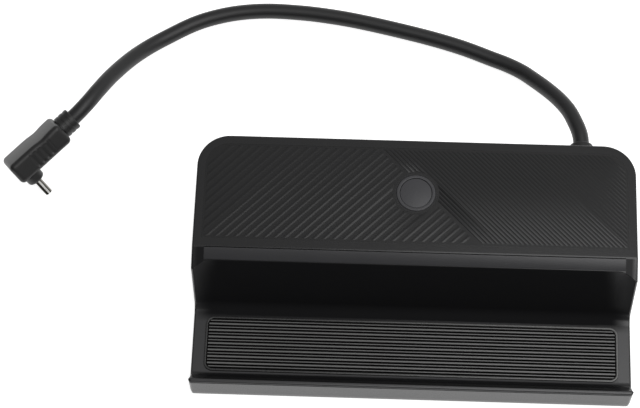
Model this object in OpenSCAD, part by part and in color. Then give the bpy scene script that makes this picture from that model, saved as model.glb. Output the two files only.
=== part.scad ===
// Desktop docking station with a cradle for a handheld device, a captive lead and a right-angle plug.
// Millimetres. X runs along the width, +Y points to the rear panel, +Z is up, and z = 0 is the table.

/* [Housing] */
// Width of the housing
body_w = 145; // [138:1:160]
// Depth of the housing from the front face to the rear panel
body_d = 80.2; // [78:0.2:88]
// Height of the flat top above the table
body_h = 32.2; // [30:0.2:36]
// Wall of the upper moulding
wall = 2; // [1.6:0.1:2.4]
// Radius of the two rear corners seen from above
rear_corner_r = 10.8; // [8:0.2:14]
// Radius of the two front corners seen from above
front_corner_r = 1.2; // [0.8:0.1:2.5]

/* [Cradle] */
// Height of the ledge that carries the device
ledge_h = 7.7; // [7:0.1:9]
// Distance from the front face to the foot of the backrest
foot_from_front = 28.8; // [27:0.1:31]
// Lean of the backrest from the vertical, in degrees
back_lean = 18.2; // [16:0.2:22]
// Radius between the ledge and the backrest
foot_r = 1; // [0.5:0.1:3]
// How far the cheeks at both ends stand in front of the backrest, at the top
cheek_out = 2.55; // [1:0.05:3.5]
// Width of the curve from the backrest to each end
cheek_w = 6.5; // [4:0.5:10]
// Depth of the sloping band between the top and the backrest
band_d = 4.1; // [3:0.1:5]
// Drop of that band from its rear edge to its front edge
band_drop = 1.8; // [1.2:0.1:2.4]
// Width of the glossy strip that is set into the band
strip_w = 136.6; // [120:0.2:138]
// Thickness of the strip
strip_t = 0.8; // [0.6:0.1:1]
// Width of the fine groove between the strip and the top
strip_groove = 0.45; // [0.3:0.05:0.8]
// Width of the housing's edge in front of the strip
strip_rim = 0.3; // [0.3:0.05:0.6]
// Clearance around the strip in its recess
strip_gap = 0.05; // [0.05:0.01:0.15]

/* [Lip] */
// Height of the front lip above the ledge
lip_rise = 3; // [2:0.1:4]
// Thickness of the lip at its top
lip_t = 1.3; // [1.1:0.1:2.1]
// How far the front face leans back on its way up
front_lean = 1.1; // [0.2:0.1:1.5]
// Height of the fine groove that runs along the front face under the lip
lip_groove = 0.3; // [0.2:0.1:0.5]
// Distance of that groove below the top of the lip
lip_groove_drop = 0.6; // [0.5:0.1:1]
// Size of the small edges along the top of the lip
lip_edge = 0.2; // [0.1:0.05:0.4]
// How far the lip's rear face slopes out on its way down to the ledge
lip_slope = 2.2; // [1:0.1:2.6]
// Size of the chamfer between that slope and the ledge
lip_foot = 0.5; // [0.3:0.1:0.8]

/* [Mat] */
// Width of the ribbed mat on the ledge
mat_w = 136.2; // [120:0.1:138]
// Depth of the mat
mat_d = 18.8; // [15:0.1:20]
// Corner radius of the mat
mat_r = 2.8; // [1.5:0.1:5]
// Distance from the front face to the mat
mat_from_front = 6.2; // [5:0.1:6.4]
// Depth of the recess that holds the mat
mat_recess = 1; // [0.8:0.1:1.2]
// Height of the mat's ribs above the ledge
mat_proud = 0.5; // [0.2:0.1:0.8]
// Width of the raised border around the mat
mat_border = 0.65; // [0.5:0.05:0.9]
// Number of wide ribs inside the border
mat_ribs = 7; // [5:1:7]
// Width of a wide rib at its foot
wide_foot = 1.05; // [0.9:0.05:1.1]
// Width of a wide rib at its top
wide_top = 0.85; // [0.6:0.05:0.85]
// Width of a narrow rib at its foot
narrow_foot = 0.55; // [0.4:0.05:0.55]
// Width of a narrow rib at its top
narrow_top = 0.35; // [0.2:0.05:0.35]
// Gap between the ribs' ends and the border
rib_end_gap = 0.4; // [0.2:0.1:0.5]
// How far the mat's face lies below the ledge between the ribs
mat_sunk = 0.2; // [0.1:0.1:0.4]
// Clearance around the mat in its recess
mat_gap = 0.1; // [0.05:0.05:0.2]
// Thickness of the ledge under the mat
ledge_floor = 1.6; // [1.4:0.1:1.8]

/* [Top panel] */
// Plain border of the top around the textured panel
panel_border = 3.1; // [2:0.1:5]
// Depth of the panel's recess
panel_recess = 0.6; // [0.4:0.1:0.8]
// Thickness of the panel
panel_t = 0.45; // [0.3:0.05:0.55]
// Clearance around the panel in its recess
panel_gap = 0.1; // [0.05:0.05:0.2]
// Plain edge of the panel outside its ribs
panel_edge = 0.5; // [0.3:0.1:1]
// Angle of the ribs to the width, in degrees
rib_angle = 45; // [40:1:50]
// Distance from one rib of the panel to the next
rib_pitch = 2.26; // [2:0.02:3]
// Width of the ribs in the left field
rib_w = 0.9; // [0.6:0.1:1.2]
// Width of the grooves between the ribs in the right field
rib_gap = 0.5; // [0.4:0.1:0.8]
// Distance from the middle of the button to the line where the two fields meet, along the width
field_x = 3.5; // [0:0.5:8]
// Radius of the plain opening around the button
panel_hole_r = 7.2; // [7:0.1:9]

/* [Button] */
// Distance from the front face to the middle of the button
button_from_front = 61.2; // [58:0.1:63]
// Outer radius of the ring around the button
ring_r = 6.4; // [6.2:0.1:6.9]
// Height of the ring above the top
ring_proud = 0.15; // [0.05:0.05:0.4]
// Depth of the ring's seat in the top
ring_seat = 0.8; // [0.6:0.1:1]
// Radial clearance between the ring and its seat
ring_gap = 0.05; // [0.02:0.01:0.1]
// Radius of the button's cap
cap_r = 5.2; // [4.8:0.1:5.4]
// Radial clearance between the cap and its guide
cap_gap = 0.1; // [0.06:0.02:0.2]
// How far the cap's face lies below the top
cap_sunk = 0.15; // [0:0.05:0.4]
// Travel of the button
button_travel = 0.5; // [0.3:0.1:0.6]
// Radius of the flange that keeps the cap in
cap_flange_r = 6.2; // [5.8:0.1:6.6]
// Thickness of that flange
cap_flange_t = 0.8; // [0.6:0.1:1.2]
// Gap between that flange and the underside of the top
flange_gap = 0.05; // [0.02:0.01:0.1]
// Side of the square tact switch
switch_w = 6; // [5:0.5:6.5]
// Height of the tact switch
switch_h = 3.5; // [3:0.1:4]
// Radius of the switch's plunger
plunger_r = 1.7; // [1.4:0.1:2]
// Height of the plunger above the switch
plunger_rise = 0.9; // [0.7:0.1:1.2]
// Radial clearance between the plunger and the switch
plunger_gap = 0.06; // [0.04:0.01:0.1]
// Length of the plunger that stays inside the switch
plunger_root = 0.5; // [0.3:0.1:0.6]

/* [Base] */
// Height of the feet's undersides to the base plate
foot_proud = 0.8; // [0.6:0.1:1]
// Thickness of the base plate
base_t = 2; // [1.8:0.1:2.4]
// Chamfer along the lower edge of the base
base_chamfer = 0.6; // [0.3:0.1:0.8]
// Height of the locating rim on the base
rim_h = 0.8; // [0.5:0.1:0.9]
// Thickness of the locating rim
rim_t = 1.2; // [0.8:0.1:1.6]
// Gap between the rim and the wall
rim_gap = 0.15; // [0.1:0.05:0.3]
// Radius of the rubber feet
foot_pad_r = 5; // [4:0.5:6]
// Depth of the recess for a foot
foot_recess = 0.6; // [0.4:0.1:0.8]
// Clearance around a foot in its recess
foot_gap = 0.1; // [0.05:0.05:0.2]
// Size of the edge around a foot's underside
foot_edge = 0.4; // [0.2:0.1:0.6]
// Distance of the feet from the sides
foot_in_x = 22; // [20:0.5:30]
// Distance of the feet from the front and the rear
foot_in_y = 12; // [10:0.5:14]
// Thickness of the steel ballast plate
ballast_t = 0.9; // [0.6:0.1:1]
// Distance of the ballast plate's ends from the locating rim
ballast_in_x = 4.5; // [1:0.1:20]
// Depth of the ballast plate
ballast_d = 20; // [15:0.5:22]
// Distance of the ballast plate from the locating rim
ballast_gap = 0.4; // [0.2:0.1:1]

/* [Screws] */
// Radius of the case screws
screw_r = 1.25; // [1:0.05:1.4]
// Radius of the case screws' heads
screw_head_r = 2.5; // [2.2:0.1:2.8]
// Height of the case screws' heads
screw_head_t = 1.1; // [0.9:0.1:1.2]
// Length of a case screw under its head
screw_len = 9; // [7:0.5:12]
// Outer radius of the case screw bosses
boss_r = 3.2; // [2.8:0.1:3.6]
// Distance of the bosses from the sides
boss_in_x = 8.5; // [8:0.1:10]
// Distance of the front pair of bosses from the front face
boss_front_y = 47.5; // [46:0.5:52]
// Distance of the rear pair of bosses from the rear panel
boss_rear_y = 13; // [12:0.5:14]
// Radial clearance of the screws in their holes
screw_gap = 0.05; // [0.04:0.01:0.1]
// Radial clearance of the case screws in the base plate
screw_clear = 0.2; // [0.1:0.05:0.3]
// How far the heads lie inside the base plate
head_sunk = 0.1; // [0.05:0.05:0.2]
// Free length of a board screw's hole below its end
screw_end_gap = 0.5; // [0.3:0.1:1]
// Radius of the small screws that hold the circuit boards
board_screw_r = 1; // [0.8:0.05:1.1]
// Head radius of the small screws
board_head_r = 1.9; // [1.7:0.1:2.1]
// Head height of the small screws
board_head_t = 1.2; // [1:0.1:1.3]
// Radial clearance of the small screws in the circuit boards
board_hole_gap = 0.15; // [0.1:0.05:0.3]
// Radius of the bosses that carry the board under the button
button_boss_r = 2.6; // [2.2:0.1:2.8]
// Distance of those bosses from the ends of that board
button_boss_in = 3.6; // [3:0.1:3.8]
// Length of the small screws inside those bosses
button_screw_len = 4; // [3:0.5:5]

/* [Circuit boards] */
// Thickness of the circuit boards
pcb_t = 1.6; // [1:0.1:1.6]
// Height of the main board's top above the table
pcb_top = 9.6; // [9:0.1:10.5]
// Gap between the main board and the screw bosses at its left end
pcb_boss_gap = 1.8; // [1:0.1:3]
// Gap between the main board's right end and the lead's collar
pcb_gland_gap = 4.4; // [1:0.1:6]
// Depth of the main board
pcb_d = 31; // [28:0.5:31.5]
// Distance of the main board from the rear wall's inner face
pcb_rear_gap = 1; // [0.8:0.1:2]
// Radius of the standoffs under the main board
standoff_r = 2.8; // [2.5:0.1:3.2]
// Distance of the standoffs from the board's edges
standoff_in = 4; // [3.5:0.1:5]
// Width of the small board under the button
button_pcb_w = 28; // [27:1:32]
// Depth of the small board under the button
button_pcb_d = 12; // [10:0.5:16]
// Side of the hub controller chip
chip_w = 9; // [7:0.5:12]
// Height of the hub controller chip
chip_h = 1; // [0.8:0.1:1.4]
// Side of the heat sink on the chip
sink_w = 16; // [14:1:17]
// Distance of the heat sink from the main board's front edge
sink_in = 1.5; // [1:0.1:2]
// Height of the heat sink
sink_h = 5; // [3.5:0.5:7]
// Thickness of the heat sink's plate and fins
fin_t = 1.2; // [1:0.1:1.4]
// Gap between two fins
fin_gap = 1.7; // [1.4:0.1:3]

/* [Rear ports] */
// Width of a USB-A port's shell
usb_a_w = 13.1; // [12.9:0.1:13.3]
// Height of a USB-A port's shell
usb_a_h = 5.7; // [5.5:0.1:5.9]
// Depth of a USB-A port
usb_a_d = 14; // [12:0.5:15]
// Gap between a USB-A port's shell and its tongue on each side
usb_a_tongue_in = 0.7; // [0.5:0.1:1]
// Thickness of a USB-A tongue
usb_a_tongue_t = 1.8; // [1.6:0.1:2]
// Height of a USB-A tongue's underside above the middle of its port
usb_a_tongue_up = 0.2; // [0:0.1:0.4]
// Width of the HDMI port's shell
hdmi_w = 15; // [14.6:0.1:15.4]
// Height of the HDMI port's shell
hdmi_h = 5.6; // [5.4:0.1:5.8]
// Depth of the HDMI port
hdmi_d = 12; // [10:0.5:13]
// Width of the slope at the HDMI port's lower corners
hdmi_slope = 1.6; // [1.4:0.1:1.8]
// Height of that slope
hdmi_slope_h = 1.9; // [1.7:0.1:2.1]
// Gap between the HDMI port's shell and its tongue on each side
hdmi_tongue_in = 2.2; // [1.8:0.1:2.6]
// Thickness of the HDMI tongue
hdmi_tongue_t = 1.1; // [0.9:0.1:1.3]
// Width of the USB-C port's shell
usb_c_w = 9; // [8.9:0.1:9.2]
// Height of the USB-C port's shell
usb_c_h = 3.3; // [3.2:0.1:3.4]
// Depth of the USB-C port
usb_c_d = 7.5; // [7:0.5:9]
// Gap between the USB-C port's shell and its tongue on each side
usb_c_tongue_in = 0.85; // [0.7:0.05:1]
// Sheet thickness of the ports' shells
port_t = 0.3; // [0.25:0.05:0.4]
// Thickness of the ports' closed backs
port_back = 1; // [0.8:0.1:1.5]
// Distance of the tongues' ends inside the ports' faces
tongue_sunk = 1.4; // [0.8:0.1:2]
// Gap between the outer ports and the heads of the board screws
port_side_gap = 1.6; // [1:0.1:2.5]
// Gap between a port's shell and its cut-out
port_gap = 0.3; // [0.2:0.05:0.5]
// How far the ports' faces lie inside the rear panel
port_sunk = 0.3; // [0.1:0.1:0.6]

/* [Lead] */
// Distance from the right side to the middle of the lead's exit
gland_in_x = 16.3; // [15:0.1:18]
// Height of the lead's exit above the table
gland_z = 14.2; // [12:0.1:15]
// Diameter of the lead's jacket
cord_d = 5.4; // [5:0.1:5.6]
// Radius of the collar outside the rear panel
gland_r = 3.95; // [3.5:0.05:4.2]
// Length of the collar outside the rear panel
gland_len = 8.2; // [5:0.1:9]
// Size of the edge around the collar's end
gland_edge = 0.7; // [0.4:0.1:1]
// Radius of the collar's neck in the rear panel
gland_neck_r = 3.1; // [2.8:0.1:3.3]
// Radius of the collar's flange behind the rear panel
gland_flange_r = 4.8; // [4:0.1:5]
// Thickness of that flange
gland_flange_t = 1.8; // [1.2:0.1:2.4]

/* [Plug] */
// Length of the plug's body along the lead
plug_len = 22.3; // [20:0.1:26]
// Thickness of the plug's body along the tip
plug_t = 8.2; // [7:0.1:9]
// Width of the plug's body
plug_w = 12.2; // [11:0.1:12.4]
// Radius of the body's corners
plug_r = 1.6; // [1:0.1:2]
// Length of the strain relief on the plug
relief_len = 5.4; // [4:0.1:8]
// Radius of the strain relief
relief_r = 3.95; // [3.4:0.05:4]
// Number of rings on the strain relief
relief_rings = 3; // [2:1:4]
// Width of the grooves between those rings
relief_groove_w = 0.7; // [0.4:0.1:0.9]
// Depth of those grooves
relief_groove = 0.35; // [0.2:0.05:0.5]
// Distance from the plug's end to the middle of the tip
tip_from_end = 4.5; // [4.3:0.1:6]
// Height of the boss that carries the tip
nose_h = 2.9; // [2:0.1:3.2]
// Length of that boss along the body
nose_len = 6.2; // [5:0.1:7]
// Width of that boss
nose_w = 10.8; // [10:0.1:11]
// Thickness of the metal tip
tip_t = 2.56; // [2.5:0.02:2.6]
// Width of the metal tip
tip_w = 8.34; // [8.2:0.02:8.4]
// Length of the metal tip outside the boss
tip_len = 6.2; // [5.8:0.1:6.4]
// Wall of the metal tip
tip_wall = 0.35; // [0.3:0.05:0.4]
// Thickness of the contact tongue in the tip
tongue_t = 0.7; // [0.6:0.05:0.8]
// Depth of the solid root behind that tongue's slot
tongue_root = 1; // [0.8:0.1:1.5]
// Number of grip grooves on each side of the plug
grip_count = 4; // [2:1:5]
// Distance from the plug's end to the first grip groove
grip_from_end = 8; // [7:0.5:10]
// Distance from one grip groove to the next
grip_step = 2.1; // [1.6:0.1:2.4]
// Width of a grip groove
grip_w = 0.95; // [0.6:0.05:1.2]
// Length of a grip groove across the plug
grip_len = 4.3; // [3:0.1:5]
// How far the grip grooves lie off the plug's middle, away from the tip
grip_off = 0.6; // [0:0.1:1]
// Depth of a grip groove
grip_depth = 0.35; // [0.2:0.05:0.5]
// Turn of the plug about the vertical, in degrees
plug_turn = 44; // [40:0.5:50]
// Slope of the plug down to the end with the tip, in degrees
plug_pitch = 10; // [8:0.5:12]
// Roll of the plug about its own length, in degrees
plug_roll = 44.5; // [42:0.5:47]

/* [Hidden] */

$fn = 64;
eps = 0.01;
over = 1;
least_r = 0.3;

plastic = "#2a2a2b";
plastic_soft = "#343435";
strip_grey = "#4a4a4c";
rubber_black = "#1e1e1f";
steel = "#b8bac0";
bright_steel = "#d5d7da";
board_green = "#1f5a3a";
contact_black = "#151515";

// Key heights
base_z0 = foot_proud;
base_z1 = foot_proud + base_t;
roof_z = body_h - wall;
lip_z = ledge_h + lip_rise;
mat_floor_z = ledge_h - mat_recess;
ledge_under_z = mat_floor_z - ledge_floor;
band_wall_h = 3;

// Key distances along Y
front_y = -body_d / 2;
rear_y = body_d / 2;
rear_in_y = rear_y - wall;
foot_y = front_y + foot_from_front;
back_tan = tan(back_lean);
band_front_z = body_h - band_drop;
band_front_y = foot_y + (band_front_z - ledge_h) * back_tan;
top_front_y = band_front_y + band_d;
lip_back_y = front_y + front_lean + lip_t;
button_y = front_y + button_from_front;

// Height of the sloping band at a distance y
function band_z(y) = body_h - (top_front_y - y) * band_drop / band_d;
strip_y0 = band_front_y + strip_rim;
strip_y1 = top_front_y - strip_groove;

// The shoulder is where a cheek's front edge meets the band
shoulder_y = band_front_y - cheek_out;
shoulder_z = band_z(shoulder_y);
side_tan = (shoulder_y - foot_y) / (shoulder_z - ledge_h);

// The uncut block in front of the backrest, which the scoop then shapes
scoop_margin = 1.5;
block_y = foot_y - foot_r - scoop_margin;

// Heights and side steps at which the scoop's surface is drawn
scoop_levels = concat([for (a = [0:15:90]) ledge_h + foot_r * (1 - cos(a))], [body_h + over]);
cheek_steps = [1.3, 1, 0.8, 0.6, 0.4, 0.2, 0];

function foot_fill(h) = h >= foot_r ? 0 : foot_r - sqrt(foot_r ^ 2 - (foot_r - h) ^ 2);
function wall_y(z) = foot_y + (z - ledge_h) * back_tan - foot_fill(z - ledge_h);
function cheek_y(z) = (z - ledge_h) * (back_tan - side_tan);
function scoop_y(z, s) = wall_y(z) - cheek_y(z) * s ^ 2;
function cheek_x(s) = body_w / 2 - cheek_w + cheek_w * s;
function scoop_section(z) = concat(
    [for (s = cheek_steps) [-cheek_x(s), scoop_y(z, s), z]],
    [for (i = [len(cheek_steps) - 1:-1:0]) [cheek_x(cheek_steps[i]), scoop_y(z, cheek_steps[i]), z]],
    [[cheek_x(cheek_steps[0]), block_y - over, z], [-cheek_x(cheek_steps[0]), block_y - over, z]]
);

// Skin of a stack of equal rings: triangles along the sides and a fan on both ends
function stack_sides(rings, n) = [
    for (i = [0:rings - 2], j = [0:n - 1], k = [0, 1])
        k == 0
            ? [i * n + j, i * n + (j + 1) % n, (i + 1) * n + j]
            : [i * n + (j + 1) % n, (i + 1) * n + (j + 1) % n, (i + 1) * n + j]
];
function stack_ends(rings, n) = [
    [for (j = [n - 1:-1:0]) j],
    [for (j = [0:n - 1]) (rings - 1) * n + j]
];

// Screw bosses, feet, standoffs and ports by number
boss_x = body_w / 2 - boss_in_x;
boss_at = [
    [-boss_x, front_y + boss_front_y], [boss_x, front_y + boss_front_y],
    [-boss_x, rear_y - boss_rear_y], [boss_x, rear_y - boss_rear_y]
];
foot_x = body_w / 2 - foot_in_x;
foot_at = [
    [-foot_x, front_y + foot_in_y], [foot_x, front_y + foot_in_y],
    [-foot_x, rear_y - foot_in_y], [foot_x, rear_y - foot_in_y]
];
gland_x = body_w / 2 - gland_in_x;
pcb_x0 = -boss_x + boss_r + pcb_boss_gap;
pcb_x1 = gland_x - gland_flange_r - pcb_gland_gap;
pcb_w = pcb_x1 - pcb_x0;
pcb_y1 = rear_in_y - pcb_rear_gap;
pcb_y0 = pcb_y1 - pcb_d;
pcb_under = pcb_top - pcb_t;
standoff_at = [
    [pcb_x0 + standoff_in, pcb_y0 + standoff_in], [pcb_x1 - standoff_in, pcb_y0 + standoff_in],
    [pcb_x0 + standoff_in, pcb_y1 - standoff_in], [pcb_x1 - standoff_in, pcb_y1 - standoff_in]
];

// The five ports stand in a row with equal gaps between the heads of the board screws
port_in = standoff_in + board_head_r + port_side_gap;
port_step = (pcb_w - 2 * port_in - 3 * usb_a_w - hdmi_w - usb_c_w) / 4;
usb_a_at = [for (i = [0:2]) pcb_x0 + port_in + usb_a_w / 2 + i * (usb_a_w + port_step)];
hdmi_x = usb_a_at[2] + usb_a_w / 2 + port_step + hdmi_w / 2;
usb_c_x = pcb_x1 - port_in - usb_c_w / 2;
port_face_y = rear_y - port_sunk;
chip_x = usb_a_at[1];
chip_y = pcb_y0 + sink_in + sink_w / 2;

// Heights of the button stack, from the cap down
cap_z = body_h - cap_sunk;
flange_z = roof_z - flange_gap - cap_flange_t;
switch_top_z = flange_z - plunger_rise;
switch_z = switch_top_z - switch_h;
button_pcb_z = switch_z - pcb_t;
button_boss_x = button_pcb_w / 2 - button_boss_in;

// The lead leaves the rear panel, comes down and lies on the table until it rises to the plug
lie_gap = 0.1;
lie_z = cord_d / 2 + lie_gap;
plug_z = 16.2;
cord_route = [
    [gland_x, rear_y + gland_len, gland_z], [55.8, 52.35, 14.2], [54.4, 56.9, 13.6],
    [52.2, 62.35, 12.1], [48.95, 67.65, 10], [45.05, 72.6, 7.6], [40.75, 77.1, 5.5], [36.5, 80.9, 4],
    [31.3, 83.95, 3.2], [26.25, 86.15, lie_z], [16.25, 90.05, lie_z], [5.75, 93.3, lie_z],
    [-7.8, 96.7, lie_z], [-21.6, 99.7, lie_z], [-31.35, 101.3, lie_z], [-41.85, 102.4, lie_z],
    [-54.9, 102.7, lie_z], [-66.9, 101.1, lie_z], [-78.3, 97.3, lie_z],
    [-89.9, 90.2, 3.3], [-95.95, 85, 5], [-100.8, 78.85, 8.2], [-105.85, 70.4, 12.7],
    [-109.5, 63.3, 15.8], [-113.05, 57.2, 17], [-117.3, 52.3, plug_z]
];
cord_sides = 10;
plug_dir = [cos(plug_pitch) * cos(plug_turn), cos(plug_pitch) * sin(plug_turn), sin(plug_pitch)];
plug_end = cord_route[len(cord_route) - 1];
plug_at = plug_end - plug_dir * (plug_len + relief_len);

function unit(v) = v / norm(v);
function route_dir(i) =
    i == 0 ? [0, 1, 0]
    : i == len(cord_route) - 1 ? -plug_dir
    : unit(cord_route[i + 1] - cord_route[i - 1]);
function route_ring(i) =
    let (t = route_dir(i), side = unit(cross(t, [0, 0, 1])), rise = cross(side, t))
    [
        for (j = [0:cord_sides - 1])
            let (a = 360 * j / cord_sides)
            cord_route[i] + cord_d / 2 * (cos(a) * side + sin(a) * rise)
    ];

// Outline of the housing seen from above, drawn inwards by inset
module plan(inset = 0) {
    w = body_w - 2 * inset;
    rr = max(rear_corner_r - inset, least_r);
    rf = max(front_corner_r - inset, least_r);
    y0 = front_y + inset;
    y1 = rear_y - inset;
    translate([-w / 2, y0 + rf]) square([w, y1 - y0 - rf - rr]);
    translate([-w / 2 + rf, y0]) square([w - 2 * rf, rf + over]);
    translate([-w / 2 + rr, y1 - rr - over]) square([w - 2 * rr, rr + over]);
    for (s = [-1, 1]) {
        translate([s * (w / 2 - rf), y0 + rf]) circle(r = rf);
        translate([s * (w / 2 - rr), y1 - rr]) circle(r = rr);
    }
}

// Side view drawn in Y and Z, extruded along X
module along_x(width) {
    rotate([90, 0, 90]) translate([0, 0, -width / 2]) linear_extrude(height = width) children();
}

// Rectangle with round corners, centred on X and starting at y
module round_rect(w, y, d, r) {
    translate([-w / 2 + r, y]) square([w - 2 * r, d]);
    translate([-w / 2, y + r]) square([w, d - 2 * r]);
    for (sx = [-1, 1], sy = [0, 1])
        translate([sx * (w / 2 - r), y + r + sy * (d - 2 * r)]) circle(r = r);
}

// Flat shape with half-round ends, centred
module stadium(w, h) {
    square([w - h, h], center = true);
    for (s = [-1, 1])
        translate([s * (w - h) / 2, 0]) circle(d = h);
}

// Shape drawn in X and Z, extruded along +Y from y
module along_y(y, length) {
    translate([0, y + length, 0]) rotate([90, 0, 0]) linear_extrude(height = length) children();
}

// Screw with a cross recess; its head is below, or above when flip is true
module screw(r, length, head_r, head_t, flip = false) {
    cross_l = 1.2 * head_r;
    cross_w = 0.4 * head_t;
    cross_d = 0.5 * head_t;
    mirror([0, 0, flip ? 1 : 0]) {
        cylinder(r = r, h = length);
        difference() {
            translate([0, 0, -head_t]) cylinder(r = head_r, h = head_t);
            for (a = [0, 90])
                rotate([0, 0, a])
                    translate([-cross_l / 2, -cross_w / 2, -head_t - eps])
                        cube([cross_l, cross_w, cross_d]);
        }
    }
}

module housing_profile() {
    groove_z = lip_z - lip_groove_drop;
    groove_y = front_y + front_lean + lip_groove;
    lean = front_lean / lip_z;
    polygon([
        [front_y + lean * base_z1, base_z1],
        [front_y + lean * groove_z, groove_z],
        [groove_y, groove_z],
        [groove_y, groove_z + lip_groove],
        [front_y + front_lean, lip_z - lip_edge],
        [front_y + front_lean + lip_edge, lip_z],
        [lip_back_y - lip_edge, lip_z],
        [lip_back_y, lip_z - lip_edge],
        [lip_back_y + lip_slope, ledge_h + lip_foot],
        [lip_back_y + lip_slope + lip_foot, ledge_h],
        [block_y, ledge_h],
        [block_y, band_z(block_y)],
        [top_front_y, body_h],
        [rear_y, body_h],
        [rear_y, base_z1]
    ]);
}

module cavity_profile() {
    slant = wall / cos(back_lean);
    under_y = foot_y + slant - (ledge_h - ledge_under_z) * back_tan;
    bend_z = roof_z - band_wall_h;
    bend_y = foot_y + slant + (bend_z - ledge_h) * back_tan;
    polygon([
        [front_y + wall + front_lean, base_z1 - over],
        [front_y + wall + front_lean, ledge_under_z],
        [under_y, ledge_under_z],
        [bend_y, bend_z],
        [bend_y + band_d, roof_z],
        [rear_in_y, roof_z],
        [rear_in_y, base_z1 - over]
    ]);
}

// Side view of the strip in the band
module strip_profile() {
    polygon([
        [strip_y0, band_z(strip_y0) - strip_t], [strip_y0, band_z(strip_y0)],
        [strip_y1, band_z(strip_y1)], [strip_y1, band_z(strip_y1) - strip_t]
    ]);
}

module strip_recess_profile() {
    y0 = strip_y0 - strip_gap;
    polygon([
        [y0, band_z(y0) - strip_t], [y0, body_h + over],
        [top_front_y, body_h + over], [top_front_y, body_h - strip_t]
    ]);
}

module scoop() {
    sides = len(scoop_section(0));
    polyhedron(
        points = [for (z = scoop_levels) each scoop_section(z)],
        faces = concat(stack_sides(len(scoop_levels), sides), stack_ends(len(scoop_levels), sides))
    );
}

// Strips along the width, one pitch apart, turned by angle about the button
module strips(angle, w) {
    n = ceil((body_w + body_d) / 2 / rib_pitch);
    translate([field_x, button_y])
        rotate(angle)
            for (i = [-n:n])
                translate([-body_w, i * rib_pitch - w / 2]) square([2 * body_w, w]);
}

// One side of the line where the two fields of ribs meet
module field(side) {
    translate([field_x, button_y])
        rotate(-rib_angle)
            translate([-body_w, side > 0 ? rib_gap / 2 : -body_w - rib_gap / 2])
                square([2 * body_w, body_w]);
}

module panel_outline(inset) {
    y0 = top_front_y + panel_border;
    intersection() {
        plan(panel_border + inset);
        translate([-body_w / 2, y0 + inset]) square([body_w, rear_y - y0]);
    }
}

module usb_a_outline(grow) {
    translate([0, usb_a_h / 2])
        square([usb_a_w + 2 * grow, usb_a_h + 2 * grow], center = true);
}

module hdmi_outline(grow) {
    w = hdmi_w / 2 + grow;
    n = w - hdmi_slope;
    polygon([
        [-w, hdmi_h + grow], [w, hdmi_h + grow], [w, hdmi_slope_h - grow],
        [n, -grow], [-n, -grow], [-w, hdmi_slope_h - grow]
    ]);
}

module usb_c_outline(grow) {
    translate([0, usb_c_h / 2]) stadium(usb_c_w + 2 * grow, usb_c_h + 2 * grow);
}

module port_cuts() {
    y = rear_in_y - over;
    depth = wall + 2 * over;
    for (x = usb_a_at)
        translate([x, 0, pcb_top]) along_y(y, depth) usb_a_outline(port_gap);
    translate([hdmi_x, 0, pcb_top]) along_y(y, depth) hdmi_outline(port_gap);
    translate([usb_c_x, 0, pcb_top]) along_y(y, depth) usb_c_outline(port_gap);
    translate([gland_x, y, gland_z])
        rotate([-90, 0, 0]) cylinder(r = gland_neck_r + screw_gap, h = depth);
}

module top_shell() {
    color(plastic)
        difference() {
            union() {
                difference() {
                    intersection() {
                        along_x(body_w + 2 * over) housing_profile();
                        linear_extrude(height = body_h + over) plan();
                    }
                    intersection() {
                        along_x(body_w) cavity_profile();
                        linear_extrude(height = body_h) plan(wall);
                    }
                }
                for (p = boss_at)
                    translate([p[0], p[1], base_z1]) cylinder(r = boss_r, h = roof_z - base_z1 + eps);
                for (s = [-1, 1])
                    translate([s * button_boss_x, button_y, button_pcb_z + pcb_t])
                        cylinder(r = button_boss_r, h = roof_z - button_pcb_z - pcb_t + eps);
            }
            scoop();
            along_x(strip_w + 2 * strip_gap) strip_recess_profile();
            translate([0, 0, mat_floor_z])
                linear_extrude(height = ledge_h)
                    round_rect(
                        mat_w + 2 * mat_gap, front_y + mat_from_front - mat_gap,
                        mat_d + 2 * mat_gap, mat_r + mat_gap
                    );
            translate([0, 0, body_h - panel_recess])
                linear_extrude(height = over)
                    difference() {
                        panel_outline(0);
                        translate([0, button_y]) circle(r = panel_hole_r);
                    }
            translate([0, button_y, body_h - ring_seat]) cylinder(r = ring_r + ring_gap, h = over);
            translate([0, button_y, roof_z - over]) cylinder(r = cap_r + cap_gap, h = wall + over);
            port_cuts();
            for (p = boss_at)
                translate([p[0], p[1], base_z1 - over])
                    cylinder(r = screw_r + screw_gap, h = screw_len + 2 * over);
            for (s = [-1, 1])
                translate([s * button_boss_x, button_y, button_pcb_z])
                    cylinder(r = board_screw_r + screw_gap, h = pcb_t + button_screw_len + over);
        }
}

module base_cover() {
    rim = wall + front_lean + rim_gap;
    lean = front_lean / lip_z;
    color(plastic)
        difference() {
            union() {
                translate([0, 0, base_z0])
                    linear_extrude(height = base_chamfer / 2 + eps) plan(base_chamfer);
                translate([0, 0, base_z0 + base_chamfer / 2])
                    linear_extrude(height = base_t - base_chamfer / 2) plan(lean * base_z1);
                difference() {
                    translate([0, 0, base_z1 - eps]) linear_extrude(height = rim_h + eps) plan(rim);
                    translate([0, 0, base_z1]) linear_extrude(height = rim_h + over) plan(rim + rim_t);
                    for (p = boss_at)
                        translate([p[0], p[1], base_z1])
                            cylinder(r = boss_r + rim_gap, h = rim_h + over);
                }
                for (p = standoff_at)
                    translate([p[0], p[1], base_z1 - eps])
                        cylinder(r = standoff_r, h = pcb_under - base_z1 + eps);
            }
            for (p = foot_at)
                translate([p[0], p[1], base_z0 - over])
                    cylinder(r = foot_pad_r + foot_gap, h = foot_recess + over);
            for (p = boss_at)
                translate([p[0], p[1], 0]) {
                    cylinder(r = screw_r + screw_clear, h = base_z1 + over);
                    cylinder(r = screw_head_r + screw_clear, h = base_z0 + screw_head_t);
                }
            for (p = standoff_at)
                translate([p[0], p[1], base_z1]) cylinder(r = board_screw_r + screw_gap, h = pcb_top);
        }
}

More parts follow.
